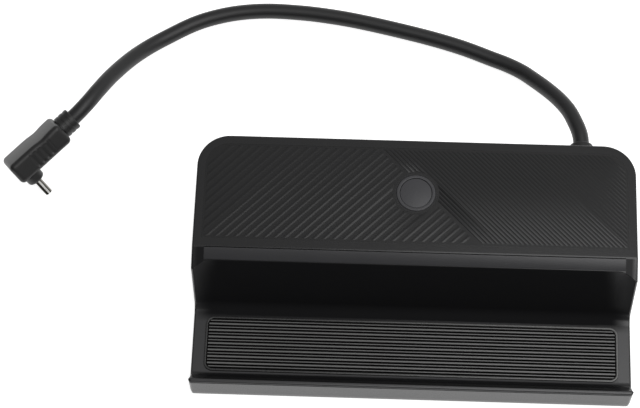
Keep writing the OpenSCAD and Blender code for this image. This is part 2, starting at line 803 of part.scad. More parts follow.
module panel_face(inset) {
    difference() {
        panel_outline(inset);
        translate([0, button_y]) circle(r = panel_hole_r + inset);
    }
}

module top_panel() {
    panel_z = body_h - panel_recess;
    color(plastic_soft) {
        translate([0, 0, panel_z]) linear_extrude(height = panel_t) panel_face(panel_gap);
        translate([0, 0, panel_z + panel_t - eps])
            linear_extrude(height = panel_recess - panel_t + eps)
                intersection() {
                    panel_face(panel_gap + panel_edge);
                    union() {
                        intersection() {
                            field(-1);
                            strips(rib_angle, rib_w);
                        }
                        intersection() {
                            field(1);
                            strips(-rib_angle, rib_pitch - rib_gap);
                        }
                    }
                }
    }
}

module band_strip() {
    color(strip_grey) along_x(strip_w) strip_profile();
}

module mat_rib(y, foot, top, z, rise) {
    translate([y, z - eps])
        polygon([[-foot / 2, 0], [foot / 2, 0], [top / 2, rise + eps], [-top / 2, rise + eps]]);
}

// Mat with a raised border; wide and narrow ribs take turns inside it
module anti_slip_mat() {
    y0 = front_y + mat_from_front;
    pitch = (mat_d - mat_border) / (mat_ribs + 1);
    first = y0 + mat_border / 2;
    face_z = ledge_h - mat_sunk;
    rise = mat_proud + mat_sunk;
    rib_in = mat_border + rib_end_gap;
    color(rubber_black) {
        translate([0, 0, mat_floor_z])
            linear_extrude(height = face_z - mat_floor_z) round_rect(mat_w, y0, mat_d, mat_r);
        translate([0, 0, face_z - eps])
            linear_extrude(height = rise + eps)
                difference() {
                    round_rect(mat_w, y0, mat_d, mat_r);
                    round_rect(
                        mat_w - 2 * mat_border, y0 + mat_border,
                        mat_d - 2 * mat_border, mat_r - mat_border
                    );
                }
        intersection() {
            along_x(mat_w) {
                for (i = [1:mat_ribs])
                    mat_rib(first + i * pitch, wide_foot, wide_top, face_z, rise);
                for (i = [0:mat_ribs])
                    mat_rib(first + (i + 0.5) * pitch, narrow_foot, narrow_top, face_z, rise);
            }
            linear_extrude(height = body_h)
                round_rect(mat_w - 2 * rib_in, y0 + rib_in, mat_d - 2 * rib_in, mat_r - rib_in);
        }
    }
}

module button_ring() {
    color(plastic_soft)
        translate([0, button_y, body_h - ring_seat])
            difference() {
                cylinder(r = ring_r, h = ring_seat + ring_proud);
                translate([0, 0, -over]) cylinder(r = cap_r + cap_gap, h = ring_seat + 3 * over);
            }
}

module button_cap() {
    color(plastic_soft)
        translate([0, button_y, 0]) {
            translate([0, 0, flange_z]) cylinder(r = cap_r, h = cap_z - flange_z);
            translate([0, 0, flange_z]) cylinder(r = cap_flange_r, h = cap_flange_t);
        }
}

module switch_plunger() {
    root = button_travel + plunger_root;
    color(contact_black)
        translate([0, button_y, switch_top_z - root]) cylinder(r = plunger_r, h = plunger_rise + root);
}

module tact_switch() {
    well = 2 * button_travel + plunger_root + plunger_gap;
    color(contact_black)
        translate([0, button_y, switch_z])
            difference() {
                translate([-switch_w / 2, -switch_w / 2, 0]) cube([switch_w, switch_w, switch_h]);
                translate([0, 0, switch_h - well]) cylinder(r = plunger_r + plunger_gap, h = well + over);
            }
}

module button_board() {
    color(board_green)
        difference() {
            translate([-button_pcb_w / 2, button_y - button_pcb_d / 2, button_pcb_z])
                cube([button_pcb_w, button_pcb_d, pcb_t]);
            for (s = [-1, 1])
                translate([s * button_boss_x, button_y, button_pcb_z - over])
                    cylinder(r = board_screw_r + board_hole_gap, h = pcb_t + 2 * over);
        }
}

module button_screw(i) {
    s = i == 1 ? -1 : 1;
    color(steel)
        translate([s * button_boss_x, button_y, button_pcb_z])
            screw(board_screw_r, pcb_t + button_screw_len, board_head_r, board_head_t);
}

module main_board() {
    color(board_green)
        difference() {
            translate([pcb_x0, pcb_y0, pcb_under]) cube([pcb_w, pcb_d, pcb_t]);
            for (p = standoff_at)
                translate([p[0], p[1], pcb_under - over])
                    cylinder(r = board_screw_r + board_hole_gap, h = pcb_t + 2 * over);
        }
}

module board_screw(i) {
    p = standoff_at[i - 1];
    color(steel)
        translate([p[0], p[1], pcb_top])
            screw(board_screw_r, pcb_top - base_z1 - screw_end_gap, board_head_r, board_head_t, true);
}

module hub_chip() {
    color(contact_black)
        translate([chip_x - chip_w / 2, chip_y - chip_w / 2, pcb_top]) cube([chip_w, chip_w, chip_h]);
}

module heat_sink() {
    z = pcb_top + chip_h;
    fins = floor((sink_w - fin_t) / (fin_t + fin_gap));
    step = (sink_w - fin_t) / fins;
    color(steel)
        translate([chip_x - sink_w / 2, chip_y - sink_w / 2, z]) {
            cube([sink_w, sink_w, fin_t]);
            for (i = [0:fins])
                translate([i * step, 0, 0]) cube([fin_t, sink_w, sink_h]);
        }
}

// Sheet-metal shell of a port, open to the rear; its outline is drawn by children(0) and children(1)
module port_shell(x, depth) {
    translate([x, 0, pcb_top])
        difference() {
            along_y(port_face_y - depth, depth) children(0);
            along_y(port_face_y - depth + port_back, depth) children(1);
        }
}

// Flat contact carrier inside a port; z is the height of its underside above the board
module port_tongue(x, z, w, t, depth) {
    translate([x - w / 2, port_face_y - depth + port_back, pcb_top + z])
        cube([w, depth - port_back - tongue_sunk, t]);
}

module usb_a_port(i) {
    color(bright_steel)
        port_shell(usb_a_at[i - 1], usb_a_d) {
            usb_a_outline(0);
            usb_a_outline(-port_t);
        }
}

module usb_a_tongue(i) {
    w = usb_a_w - 2 * port_t - 2 * usb_a_tongue_in;
    color(contact_black)
        port_tongue(usb_a_at[i - 1], usb_a_h / 2 + usb_a_tongue_up, w, usb_a_tongue_t, usb_a_d);
}

module hdmi_port() {
    color(bright_steel)
        port_shell(hdmi_x, hdmi_d) {
            hdmi_outline(0);
            hdmi_outline(-port_t);
        }
}

module hdmi_tongue() {
    w = hdmi_w - 2 * port_t - 2 * hdmi_tongue_in;
    color(contact_black)
        port_tongue(hdmi_x, hdmi_h / 2, w, hdmi_tongue_t, hdmi_d);
}

module usb_c_port() {
    color(bright_steel)
        port_shell(usb_c_x, usb_c_d) {
            usb_c_outline(0);
            usb_c_outline(-port_t);
        }
}

module usb_c_tongue() {
    w = usb_c_w - 2 * port_t - 2 * usb_c_tongue_in;
    color(contact_black)
        port_tongue(usb_c_x, (usb_c_h - tongue_t) / 2, w, tongue_t, usb_c_d);
}

module ballast_plate() {
    rim_in = wall + front_lean + rim_gap + rim_t;
    w = body_w - 2 * (rim_in + ballast_in_x);
    color(steel)
        translate([-w / 2, front_y + rim_in + ballast_gap, base_z1]) cube([w, ballast_d, ballast_t]);
}

module case_screw(i) {
    p = boss_at[i - 1];
    color(steel)
        translate([p[0], p[1], base_z0 + screw_head_t])
            screw(screw_r, screw_len, screw_head_r, screw_head_t - head_sunk);
}

module rubber_foot(i) {
    p = foot_at[i - 1];
    color(rubber_black)
        translate([p[0], p[1], 0]) {
            cylinder(r1 = foot_pad_r - foot_edge, r2 = foot_pad_r, h = foot_edge);
            translate([0, 0, foot_edge]) cylinder(r = foot_pad_r, h = base_z0 + foot_recess - foot_edge);
        }
}

module cable_gland() {
    y1 = rear_y + gland_len;
    color(rubber_black)
        translate([gland_x, 0, gland_z])
            rotate([-90, 0, 0]) {
                translate([0, 0, rear_in_y - gland_flange_t])
                    cylinder(r = gland_flange_r, h = gland_flange_t);
                translate([0, 0, rear_in_y - eps]) cylinder(r = gland_neck_r, h = wall + 2 * eps);
                translate([0, 0, rear_y]) cylinder(r = gland_r, h = gland_len - gland_edge);
                translate([0, 0, y1 - gland_edge - eps])
                    cylinder(r1 = gland_r, r2 = gland_r - gland_edge, h = gland_edge + eps);
            }
}

module cord() {
    rings = len(cord_route);
    color(rubber_black)
        polyhedron(
            points = [for (i = [0:rings - 1]) each route_ring(i)],
            faces = concat(stack_sides(rings, cord_sides), stack_ends(rings, cord_sides))
        );
}

// Plug frame: +X towards the lead, -Y along the tip, +Z across the width
module on_plug() {
    translate(plug_at) rotate([plug_roll, -plug_pitch, plug_turn]) children();
}

module plug_strain_relief() {
    step = relief_len / relief_rings;
    color(rubber_black)
        on_plug()
            translate([plug_len, 0, 0])
                rotate([0, 90, 0]) {
                    cylinder(r = relief_r - relief_groove, h = relief_len);
                    for (k = [0:relief_rings - 1])
                        translate([0, 0, k * step + relief_groove_w / 2])
                            cylinder(r = relief_r, h = step - relief_groove_w);
                }
}

module plug_side() {
    translate([plug_r, -plug_t / 2]) square([plug_len - 2 * plug_r, plug_t]);
    translate([0, -plug_t / 2 + plug_r]) square([plug_len, plug_t - 2 * plug_r]);
    for (x = [plug_r, plug_len - plug_r], y = [-1, 1])
        translate([x, y * (plug_t / 2 - plug_r)]) circle(r = plug_r);
}

module plug_body() {
    color(plastic_soft)
        on_plug()
            difference() {
                union() {
                    translate([0, 0, -plug_w / 2]) linear_extrude(height = plug_w) plug_side();
                    translate([tip_from_end, -plug_t / 2 + eps, 0])
                        rotate([90, 0, 0])
                            linear_extrude(height = nose_h + eps) rotate(90) stadium(nose_w, nose_len);
                }
                for (k = [0:grip_count - 1], s = [-1, 1])
                    translate([
                        grip_from_end + k * grip_step, grip_off - grip_len / 2, s * plug_w / 2 - grip_depth
                    ])
                        cube([grip_w, grip_len, 2 * grip_depth]);
            }
}

module plug_shell() {
    color(bright_steel)
        on_plug()
            translate([tip_from_end, -plug_t / 2 - nose_h, 0])
                rotate([90, 0, 0])
                    difference() {
                        linear_extrude(height = tip_len) rotate(90) stadium(tip_w, tip_t);
                        translate([0, 0, tip_wall])
                            linear_extrude(height = tip_len)
                                rotate(90) stadium(tip_w - 2 * tip_wall, tip_t - 2 * tip_wall);
                    }
}

// Contact carrier inside the tip, with a slot for the tongue of the port that it goes into
module plug_tongue() {
    h = tip_t - 2 * tip_wall;
    length = tip_len - 3 * tip_wall;
    color(contact_black)
        on_plug()
            translate([tip_from_end, -plug_t / 2 - nose_h - tip_wall, 0])
                rotate([90, 0, 0])
                    difference() {
                        linear_extrude(height = length) rotate(90) square([tip_w - tip_t, h], center = true);
                        translate([-tongue_t / 2, -tip_w / 2, tongue_root]) cube([tongue_t, tip_w, length]);
                    }
}

top_shell();
base_cover();
top_panel();
band_strip();
anti_slip_mat();
button_ring();
button_cap();
switch_plunger();
tact_switch();
button_board();
button_screw(1);  // button_screw_1
button_screw(2);  // button_screw_2
main_board();
hub_chip();
heat_sink();
board_screw(1);  // board_screw_1
board_screw(2);  // board_screw_2
board_screw(3);  // board_screw_3
board_screw(4);  // board_screw_4
usb_a_port(1);  // usb_a_port_1
usb_a_port(2);  // usb_a_port_2
usb_a_port(3);  // usb_a_port_3
usb_a_tongue(1);  // usb_a_tongue_1
usb_a_tongue(2);  // usb_a_tongue_2
usb_a_tongue(3);  // usb_a_tongue_3
hdmi_port();
hdmi_tongue();
usb_c_port();
usb_c_tongue();
ballast_plate();
case_screw(1);  // case_screw_1
case_screw(2);  // case_screw_2
case_screw(3);  // case_screw_3
case_screw(4);  // case_screw_4
rubber_foot(1);  // rubber_foot_1
rubber_foot(2);  // rubber_foot_2
rubber_foot(3);  // rubber_foot_3
rubber_foot(4);  // rubber_foot_4
cable_gland();
cord();
plug_strain_relief();
plug_body();
plug_shell();
plug_tongue();
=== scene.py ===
import math
import bpy
import numpy as np
from mathutils import Matrix


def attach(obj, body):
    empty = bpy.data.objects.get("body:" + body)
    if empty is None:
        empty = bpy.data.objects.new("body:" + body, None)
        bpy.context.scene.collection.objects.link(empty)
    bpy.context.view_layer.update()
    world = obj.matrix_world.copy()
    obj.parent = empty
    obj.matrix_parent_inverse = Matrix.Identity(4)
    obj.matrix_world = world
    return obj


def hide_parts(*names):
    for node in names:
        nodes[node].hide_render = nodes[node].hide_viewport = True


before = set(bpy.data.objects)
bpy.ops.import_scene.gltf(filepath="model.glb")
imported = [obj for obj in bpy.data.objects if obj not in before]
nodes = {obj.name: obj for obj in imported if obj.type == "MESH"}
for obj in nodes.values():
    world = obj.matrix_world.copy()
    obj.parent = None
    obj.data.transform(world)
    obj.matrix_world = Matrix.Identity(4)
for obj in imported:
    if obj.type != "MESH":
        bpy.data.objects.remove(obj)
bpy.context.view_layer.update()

MM = 0.001

# ---------- sizes in mm, as in the part's source
BODY_W, BODY_D, BODY_H = 145.0, 80.2, 32.2
HALF_W = BODY_W / 2
FRONT_Y, REAR_Y = -BODY_D / 2, BODY_D / 2
WALL, BASE_TOP = 2.0, 2.8
LEDGE_H, LIP_H = 7.7, 10.7
FRONT_LEAN, LIP_T = 1.1, 1.3
LIP_BACK_Y = FRONT_Y + FRONT_LEAN + LIP_T
FOOT_Y = FRONT_Y + 28.8
BACK_TAN = math.tan(math.radians(18.2))
BAND_D, BAND_DROP = 4.1, 1.8
BAND_SLOPE = BAND_DROP / BAND_D
BAND_Y = FOOT_Y + (BODY_H - BAND_DROP - LEDGE_H) * BACK_TAN
TOP_FRONT_Y = BAND_Y + BAND_D
CHEEK_W = 6.5
REAR_R, FRONT_R = 10.8, 1.2
STRIP_W, STRIP_T = 136.6, 0.8
MAT_W, MAT_D, MAT_R, MAT_BORDER, MAT_GAP = 136.2, 18.8, 2.8, 0.65, 0.1
MAT_Y = FRONT_Y + 6.2
MAT_FLOOR, MAT_FACE, MAT_TOP = LEDGE_H - 1.0, LEDGE_H - 0.2, LEDGE_H + 0.5
PANEL_BORDER, PANEL_Z = 3.1, BODY_H - 0.6
RIB_PITCH, FIELD_X = 2.26, 3.5
BUTTON_Y = FRONT_Y + 61.2
HOLE_R, RING_R, RING_SEAT, RING_PROUD = 7.2, 6.4, 0.8, 0.15
CAP_R, CAP_GAP, FLANGE_OUT, FLANGE_T, FLANGE_GAP = 5.2, 0.1, 1.0, 0.8, 0.05
GLAND_X, GLAND_Z, GLAND_R, GLAND_LEN, GLAND_EDGE = 56.2, 14.2, 3.95, 8.2, 0.7
GLAND_FLANGE_R, GLAND_FLANGE_T, GLAND_NECK_R = 4.8, 1.8, 3.1
PCB_TOP, PORT_GAP = 9.6, 0.3
# each opening in the rear wall: its middle across the width, and its kind
PORTS = [(-44.95, "usb_a"), (-24.925, "usb_a"), (-4.9, "usb_a"), (16.075, "hdmi"),
         (35.0, "usb_c")]

# ---------- camera
lens = bpy.data.cameras.new("camera")
camera = bpy.data.objects.new("camera", lens)
bpy.context.scene.collection.objects.link(camera)
camera.location = (-0.01126, -0.24528, 0.64938)
camera.rotation_euler = (math.radians(23.0), 0.0, math.radians(1.8))    # looks down 67 degrees
lens.sensor_width, lens.lens = 36.0, 115.4
lens.shift_x = -0.0564             # the object stands to the right of the lens axis
lens.clip_start, lens.clip_end = 0.01, 20.0
bpy.context.scene.camera = camera


# ---------- mesh helpers
def mesh_object(name, points, faces, smooth_angle=35.0):
    """A mesh from points in mm and a list of faces."""
    mesh = bpy.data.meshes.new(name)
    mesh.from_pydata((np.asarray(points, float) * MM).tolist(), [], faces)
    mesh.validate()
    mesh.update()
    obj = bpy.data.objects.new(name, mesh)
    bpy.context.scene.collection.objects.link(obj)
    shade(obj, smooth_angle)
    return obj


def shade(obj, smooth_angle):
    """Smooth faces, with sharp edges where the surface turns more than smooth_angle degrees."""
    mesh = obj.data
    mesh.polygons.foreach_set("use_smooth", np.ones(len(mesh.polygons), bool))
    mesh.set_sharp_from_angle(angle=math.radians(smooth_angle))


def smooth(x, a, b):
    """0 below a, 1 above b, and between them 3 times the way's square less twice its cube."""
    t = np.clip((x - a) / (b - a), 0, 1)
    return t * t * (3 - 2 * t)


def unit(vectors):
    """Each vector at length one."""
    return vectors / np.linalg.norm(vectors, axis=-1, keepdims=True)


def grid_faces(rows, columns, closed=False):
    """Quads of a grid of points, row by row; closed joins the last column to the first."""
    r, c = np.meshgrid(np.arange(rows - 1), np.arange(columns if closed else columns - 1),
                       indexing="ij")
    n = (c + 1) % columns
    quads = np.stack([r * columns + c, r * columns + n, (r + 1) * columns + n,
                      (r + 1) * columns + c], -1)
    return quads.reshape(-1, 4).tolist()


def end_caps(rows, columns):
    """Flat caps over the first and the last row of a grid that is closed round its columns."""
    return [list(range(columns))[::-1], list(range((rows - 1) * columns, rows * columns))]


def flipped(faces):
    """The same faces seen from their other side."""
    return [face[::-1] for face in faces]


def joined(*shapes):
    """Several shapes, each its points and faces, as one."""
    points, faces, first = [], [], 0
    for p, f in shapes:
        p = np.asarray(p, float).reshape(-1, 3)
        points.append(p)
        faces += [[first + int(i) for i in face] for face in f]
        first += len(p)
    return np.concatenate(points), faces


def moved(shape, matrix):
    """A shape's points carried by a 4 x 4 matrix."""
    m = np.array(matrix)
    return np.asarray(shape[0]) @ m[:3, :3].T + m[:3, 3], shape[1]


def round_outline(width, y_low, y_high, r_low, r_high, steps=10):
    """Rectangle with round corners, counter-clockwise, and its outward normals: each corner's
    centre plus its radius times the unit vector of the angle."""
    points, normals = [], []
    corners = ((1, y_low + r_low, r_low, -90), (1, y_high - r_high, r_high, 0),
               (-1, y_high - r_high, r_high, 90), (-1, y_low + r_low, r_low, 180))
    for side, y, r, start in corners:
        a = np.radians(start + np.linspace(0, 90, steps + 1))
        out = np.stack([np.cos(a), np.sin(a)], -1)
        points.append(np.array([side * (width / 2 - r), y]) + r * out)
        normals.append(out)
    return np.concatenate(points), np.concatenate(normals)


def circle_outline(radius, x=0.0, y=0.0, steps=96):
    """Circle, counter-clockwise: centre plus radius times the unit vector of the angle."""
    a = np.linspace(0, 2 * np.pi, steps, endpoint=False)
    out = np.stack([np.cos(a), np.sin(a)], -1)
    return np.array([x, y]) + radius * out, out


def stadium(length, width, steps=12):
    """Straight sides along Y with half-round ends, counter-clockwise, with its normals."""
    end_r = width / 2 - 1e-3
    return round_outline(width, -length / 2, length / 2, end_r, end_r, steps)


def stack(outline, profile, hollow=False):
    """Each (inset, height) of the profile gives a ring, which is the outline moved inwards by inset
    at that height. Flat caps close the first and the last ring, or a face joins them if hollow."""
    points, normals = outline
    profile = np.asarray(profile, float)
    profile = profile[np.r_[True, np.abs(np.diff(profile, axis=0)).sum(1) > 1e-6]]
    flat = points[None] - normals[None] * profile[:, None, :1]
    height = np.broadcast_to(profile[:, None, 1:], flat.shape[:2] + (1,))
    n, last = len(points), (len(profile) - 1) * len(points)
    faces = grid_faces(len(profile), n, closed=True)
    if hollow:
        faces += [[i, last + i, last + (i + 1) % n, (i + 1) % n] for i in range(n)]
    else:
        faces += end_caps(len(profile), n)
    return np.concatenate([flat, height], -1).reshape(-1, 3), faces


def soft_edge(inset, height, radius, turn, steps=4):
    """Quarter circle of profile points round an edge at (inset, height): 'up' from a wall to a
    face above it, or 'down' from a face to a wall below it."""
    t = np.radians(np.linspace(0, 90, steps + 1))
    far, near = radius * (1 - np.cos(t)), radius * (1 - np.sin(t))
    if turn == "up":
        return list(zip(inset + far, height - near))
    return list(zip(inset - near, height - far))


def section_bar(x_from, x_to, across, height, place):
    """A section's points (across, height) at four stations from x_from to x_to, with its top
    sunk to the base at both ends. place turns along and across into x and y."""
    taper = 0.35
    along = np.stack([x_from, x_from + taper, x_to - taper, x_to])
    rise = np.array([0.0, 1.0, 1.0, 0.0])[:, None] * np.maximum(height, 0) + np.minimum(height, 0)
    flat = place(along, np.broadcast_to(across, along.shape))
    points = np.concatenate([flat, rise[..., None]], -1)
    rows, n = points.shape[:2]
    return points.reshape(-1, 3), grid_faces(rows, n, closed=True) + end_caps(rows, n)


def side_prism(outline, x0, x1):
    """A (y, z) outline, counter-clockwise seen from the right end, carried along the width."""
    outline = np.asarray(outline, float)
    n = len(outline)
    points = np.concatenate([np.column_stack([np.full(n, v), outline]) for v in (x0, x1)])
    return points, grid_faces(2, n, closed=True) + end_caps(2, n)


def carve(piece, *shapes, smooth_angle=35.0):
    """Cuts closed shapes out of a piece and keeps the result as its mesh, with its first finish."""
    cutter = mesh_object("cutter", *joined(*shapes))
    cut = piece.modifiers.new("cut", "BOOLEAN")
    cut.operation = "DIFFERENCE"
    cut.solver = "MANIFOLD"
    cut.object = cutter
    finish = piece.data.materials[0]
    graph = bpy.context.evaluated_depsgraph_get()
    piece.data = bpy.data.meshes.new_from_object(piece.evaluated_get(graph), depsgraph=graph)
    piece.modifiers.clear()
    piece.data.materials.clear()
    piece.data.materials.append(finish)
    bpy.data.objects.remove(cutter)
    shade(piece, smooth_angle)


# ---------- shader helpers
CLOUD_MM = 14.0                    # size of the drift between a finish's two tones


def linear(hex_colour):
    """sRGB hex to linear RGBA: a twelfth or so of a dark part, and the 2.4th power of the rest."""
    parts = [int(hex_colour[i:i + 2], 16) / 255 for i in (1, 3, 5)]
    return tuple(c / 12.92 if c <= 0.04045 else ((c + 0.055) / 1.055) ** 2.4
                 for c in parts) + (1.0,)


def add(tree, kind, links=None, inputs=None, **settings):
    """Adds a node with its settings, its input values and the links into it."""
    node = tree.nodes.new(kind)
    for key, value in settings.items():
        setattr(node, key, value)
    for key, value in (inputs or {}).items():
        node.inputs[key].default_value = value
    for key, socket in (links or {}).items():
        tree.links.new(socket, node.inputs[key])
    return node


def calc(tree, operation, *values, clamp=False):
    """Math on sockets and plain numbers."""
    node = add(tree, "ShaderNodeMath", operation=operation, use_clamp=clamp)
    for slot, value in zip(node.inputs, values):
        if isinstance(value, (int, float)):
            slot.default_value = value
        else:
            tree.links.new(value, slot)
    return node.outputs[0]


def times(tree, *values):
    """Product of several values."""
    result = values[0]
    for value in values[1:]:
        result = calc(tree, "MULTIPLY", result, value)
    return result


def ramp(tree, value, low, high, start=0.0, end=1.0, curve="LINEAR"):
    """Runs from start at low to end at high, both in mm of the value."""
    return add(tree, "ShaderNodeMapRange", {"Value": value},
               {"From Min": low * MM, "From Max": high * MM, "To Min": start, "To Max": end},
               interpolation_type=curve).outputs["Result"]


def blend(tree, factor, low, high):
    """Mixes two colours, each a socket or a hex value: low at factor 0 and high at factor 1."""
    mix = add(tree, "ShaderNodeMix", {"Factor": factor}, data_type="RGBA")
    for key, colour in (("A", low), ("B", high)):
        if isinstance(colour, str):
            mix.inputs[key].default_value = linear(colour)
        else:
            tree.links.new(colour, mix.inputs[key])
    return mix.outputs["Result"]


def shader_of(material):
    """A material's node tree and its shader's own sockets."""
    material.use_nodes = True
    tree = material.node_tree
    return tree, tree.nodes["Principled BSDF"].inputs


def object_place(tree):
    """X, Y and Z in the object's own coordinates."""
    place = add(tree, "ShaderNodeTexCoord").outputs["Object"]
    return add(tree, "ShaderNodeSeparateXYZ", {"Vector": place}).outputs


def surface(name, colour_a, colour_b, roughness, grain_mm, bump, ior=1.5, metallic=0.0,
            spread=0.06, **sockets):
    """A finish whose colour drifts between two tones; its grain shows in its bump, in mm, and in
    its roughness, which spreads to both sides."""
    material = bpy.data.materials.new(name)
    tree, shader = shader_of(material)
    shader["IOR"].default_value = ior
    shader["Metallic"].default_value = metallic
    for key, value in sockets.items():
        shader[key.replace("_", " ")].default_value = value
    place = add(tree, "ShaderNodeTexCoord").outputs["Object"]
    cloud, grain = (add(tree, "ShaderNodeTexNoise", {"Vector": place},
                        {"Scale": 1000 / size, "Detail": detail}).outputs["Fac"]
                    for size, detail in ((CLOUD_MM, 4.0), (grain_mm, 2.0)))
    tree.links.new(blend(tree, cloud, colour_a, colour_b), shader["Base Color"])
    rough = add(tree, "ShaderNodeMapRange", {"Value": grain},
                {"To Min": roughness - spread, "To Max": roughness + spread})
    tree.links.new(rough.outputs["Result"], shader["Roughness"])
    relief = add(tree, "ShaderNodeBump", {"Height": grain},
                 {"Strength": 1.0, "Distance": bump * MM})
    tree.links.new(relief.outputs["Normal"], shader["Normal"])
    return material


# ---------- materials
# Between which two places in mm the housing's painted shade and painted sheen run into its own
# finish
SHADE_ENDS = HALF_W - 9.0, HALF_W - 1.0        # the painted shade fades over the cheeks
SHADE_LEDGE = FOOT_Y - 5.5, FOOT_Y - 2.6       # and over the rear of the ledge
SHADE_SHIFT = 2.5                              # how far its fading shifts
FOOT_TO_BAND = LEDGE_H, BODY_H - 4.0          # it shifts out at the foot of the backrest
RIGHT_CHEEK, CHEEK_RISE = (50.0, 60.0), (LEDGE_H + 1.0, LEDGE_H + 6.0)    # and back in here
BEHIND_BAND = BAND_Y + 0.02, BAND_Y + 0.04    # it ends behind the band's front edge
BAND_AT = BODY_H - BAND_SLOPE * TOP_FRONT_Y   # height of the band's slope at the origin
ON_BAND, BAND_REAR = (BAND_AT - 0.2, BAND_AT - 0.1), (TOP_FRONT_Y - 0.3, TOP_FRONT_Y)
STRIP_END = STRIP_W / 2 - 0.2, STRIP_W / 2 + 0.2
EAR_END = HALF_W - 2.2, HALF_W - 1.0
FLOOR_END = MAT_Y - 0.6                       # the slope behind the lip gets no painted sheen
FLOOR_Y, FLOOR_HALF = (LIP_BACK_Y + FLOOR_END) / 2, (FLOOR_END - LIP_BACK_Y) / 2
# the painted sheen begins just below the ledge's top and ends just inside the sides
SHEEN_TOP, SHEEN_END = (LEDGE_H - 0.4, LEDGE_H - 0.1), (HALF_W - 0.9, HALF_W - 0.4)


def painted_shade_and_sheen(material, shade_tone, sheen_tone):
    """Paints shade into a finish in the scooped backrest and beside the strip's ends, with no
    specular level there, and paints a paler sheen on the rest of the ledge, the cheeks' outer edges
    and the lip's top. Each share is a product of ramps."""
    tree, shader = shader_of(material)
    tone = shader["Base Color"].links[0].from_socket
    x, y, z = object_place(tree)
    off = calc(tree, "ABSOLUTE", x)
    before = ramp(tree, y, *BEHIND_BAND, 1, 0)
    out = ramp(tree, z, *FOOT_TO_BAND, SHADE_SHIFT * MM, 0)
    back = times(tree, ramp(tree, x, *RIGHT_CHEEK, 0, SHADE_SHIFT * MM),
                 ramp(tree, z, *CHEEK_RISE))
    reach = calc(tree, "ADD", calc(tree, "SUBTRACT", off, out), back)
    shade_share = times(tree, ramp(tree, reach, *SHADE_ENDS, 1, 0, "SMOOTHSTEP"),
                       ramp(tree, y, *SHADE_LEDGE), before)
    # on the band's slope, the height less the slope's share of the depth is the same all over
    above_slope = calc(tree, "MULTIPLY_ADD", y, -BAND_SLOPE, z)
    # beside each end of the strip the band gets painted shade as well
    beside_strip = times(
        tree, ramp(tree, off, *STRIP_END, 0, 0.75), ramp(tree, off, *EAR_END, 1, 0),
        ramp(tree, y, *BAND_REAR, 1, 0), ramp(tree, above_slope, *ON_BAND))
    shade_share = calc(tree, "MAXIMUM", shade_share, beside_strip)
    from_floor = calc(tree, "ABSOLUTE", calc(tree, "SUBTRACT", y, FLOOR_Y * MM))
    sheen_share = times(tree, calc(tree, "SUBTRACT", 1.0, shade_share), before,
                       ramp(tree, from_floor, FLOOR_HALF, FLOOR_HALF + 0.2),
                       ramp(tree, z, *SHEEN_TOP), ramp(tree, off, *SHEEN_END, 1, 0),
                       ramp(tree, above_slope, *ON_BAND, 1, 0))
    # painted shade over painted sheen over the finish's own tone; no specular level where the shade
    # is painted
    tone = blend(tree, shade_share, blend(tree, sheen_share, tone, sheen_tone), shade_tone)
    tree.links.new(tone, shader["Base Color"])
    level = add(tree, "ShaderNodeMapRange", {"Value": shade_share}, {"To Min": 0.5, "To Max": 0.0})
    tree.links.new(level.outputs["Result"], shader["Specular IOR Level"])


def painted_shade_ramp(material, hex_colour, low, high, axis="Z"):
    """Paints shade onto a finish below a height, or left of a place: the colour runs up to its own
    between low and high."""
    tree, shader = shader_of(material)
    own = shader["Base Color"].links[0].from_socket
    share = ramp(tree, object_place(tree)[axis], low, high)
    tree.links.new(blend(tree, share, hex_colour, own), shader["Base Color"])


# Spark-eroded moulded ABS: deep black with a soft, slightly grainy sheen, with painted shade in
# the recess and beside the strip's ends, and a painted paler sheen on the ledge, cheek edges and
# lip.
HOUSING = surface("satin_black_abs", "#151516", "#1a1a1b", 0.21, 0.35, 0.003, spread=0.04)
painted_shade_and_sheen(HOUSING, "#1d1d1e", "#363637")
# The middle of the backrest: rough, with no specular level, which paints the recess's shade.
SHADED_RECESS = surface("recess_painted_shade_abs", "#1c1c1d", "#1e1e1f", 0.6, 0.35, 0.003,
                 Specular_IOR_Level=0.0)
# Polished moulded ABS on the front edge, smooth enough to mirror the table at a low angle; its
# paler tone is painted reflection.
FRONT_GLOSS_PAINTED_REFLECTION = surface("polished_abs_painted_reflection", "#353536", "#3b3b3c", 0.25, 0.6, 0.001, ior=1.6)
# Textured ABS panel: black like the housing, a little duller, so its ribs show softly.
PANEL = surface("ribbed_black_abs", "#0e0e0f", "#121213", 0.30, 0.35, 0.002,
                Specular_IOR_Level=0.43)
# Smooth strip: paler than the housing, which paints part of its slope's sheen, so it shows as a
# lighter line.
STRIP = surface("gloss_dark_abs_painted_sheen", "#313133", "#373739", 0.25, 0.8, 0.0004, spread=0.02)
# Fine-grained disc: dark grey ABS with a soft even sheen.
BUTTON = surface("dark_grey_abs", "#363639", "#3c3c3f", 0.36, 0.3, 0.002)
# Moulded silicone: matt black, with dust on the tops of the ribs, which makes them grey, and
# painted shade that darkens them towards their feet.
MAT = surface("silicone_rubber", "#60605f", "#6a6a69", 0.24, 0.3, 0.002)
painted_shade_ramp(MAT, "#090909", MAT_FACE + 0.3, MAT_TOP - 0.03)
# The mat's border: the same silicone, with painted shade on its left, so it is darker there.
BORDER = surface("left_shaded_silicone_rubber", "#60605f", "#6a6a69", 0.28, 0.3, 0.002)
painted_shade_ramp(BORDER, "#2a2a2a", -40.0, 66.0, "X")
# Bottoms of the mat's grooves: near black, with hardly any sheen, as painted shade between the
# bars.
SHADED_GROOVE = surface("groove_painted_shade_rubber", "#080808", "#0c0c0c", 0.8, 0.3, 0.003, Specular_IOR_Level=0.1)
# Plain moulded rubber, dull and slightly dusty.
FOOT = surface("moulded_rubber", "#1b1b1b", "#232323", 0.62, 0.4, 0.01)
# Extruded TPE jacket: dull black with a faint skin.
JACKET = surface("extruded_tpe", "#161617", "#1b1b1c", 0.45, 0.5, 0.01)
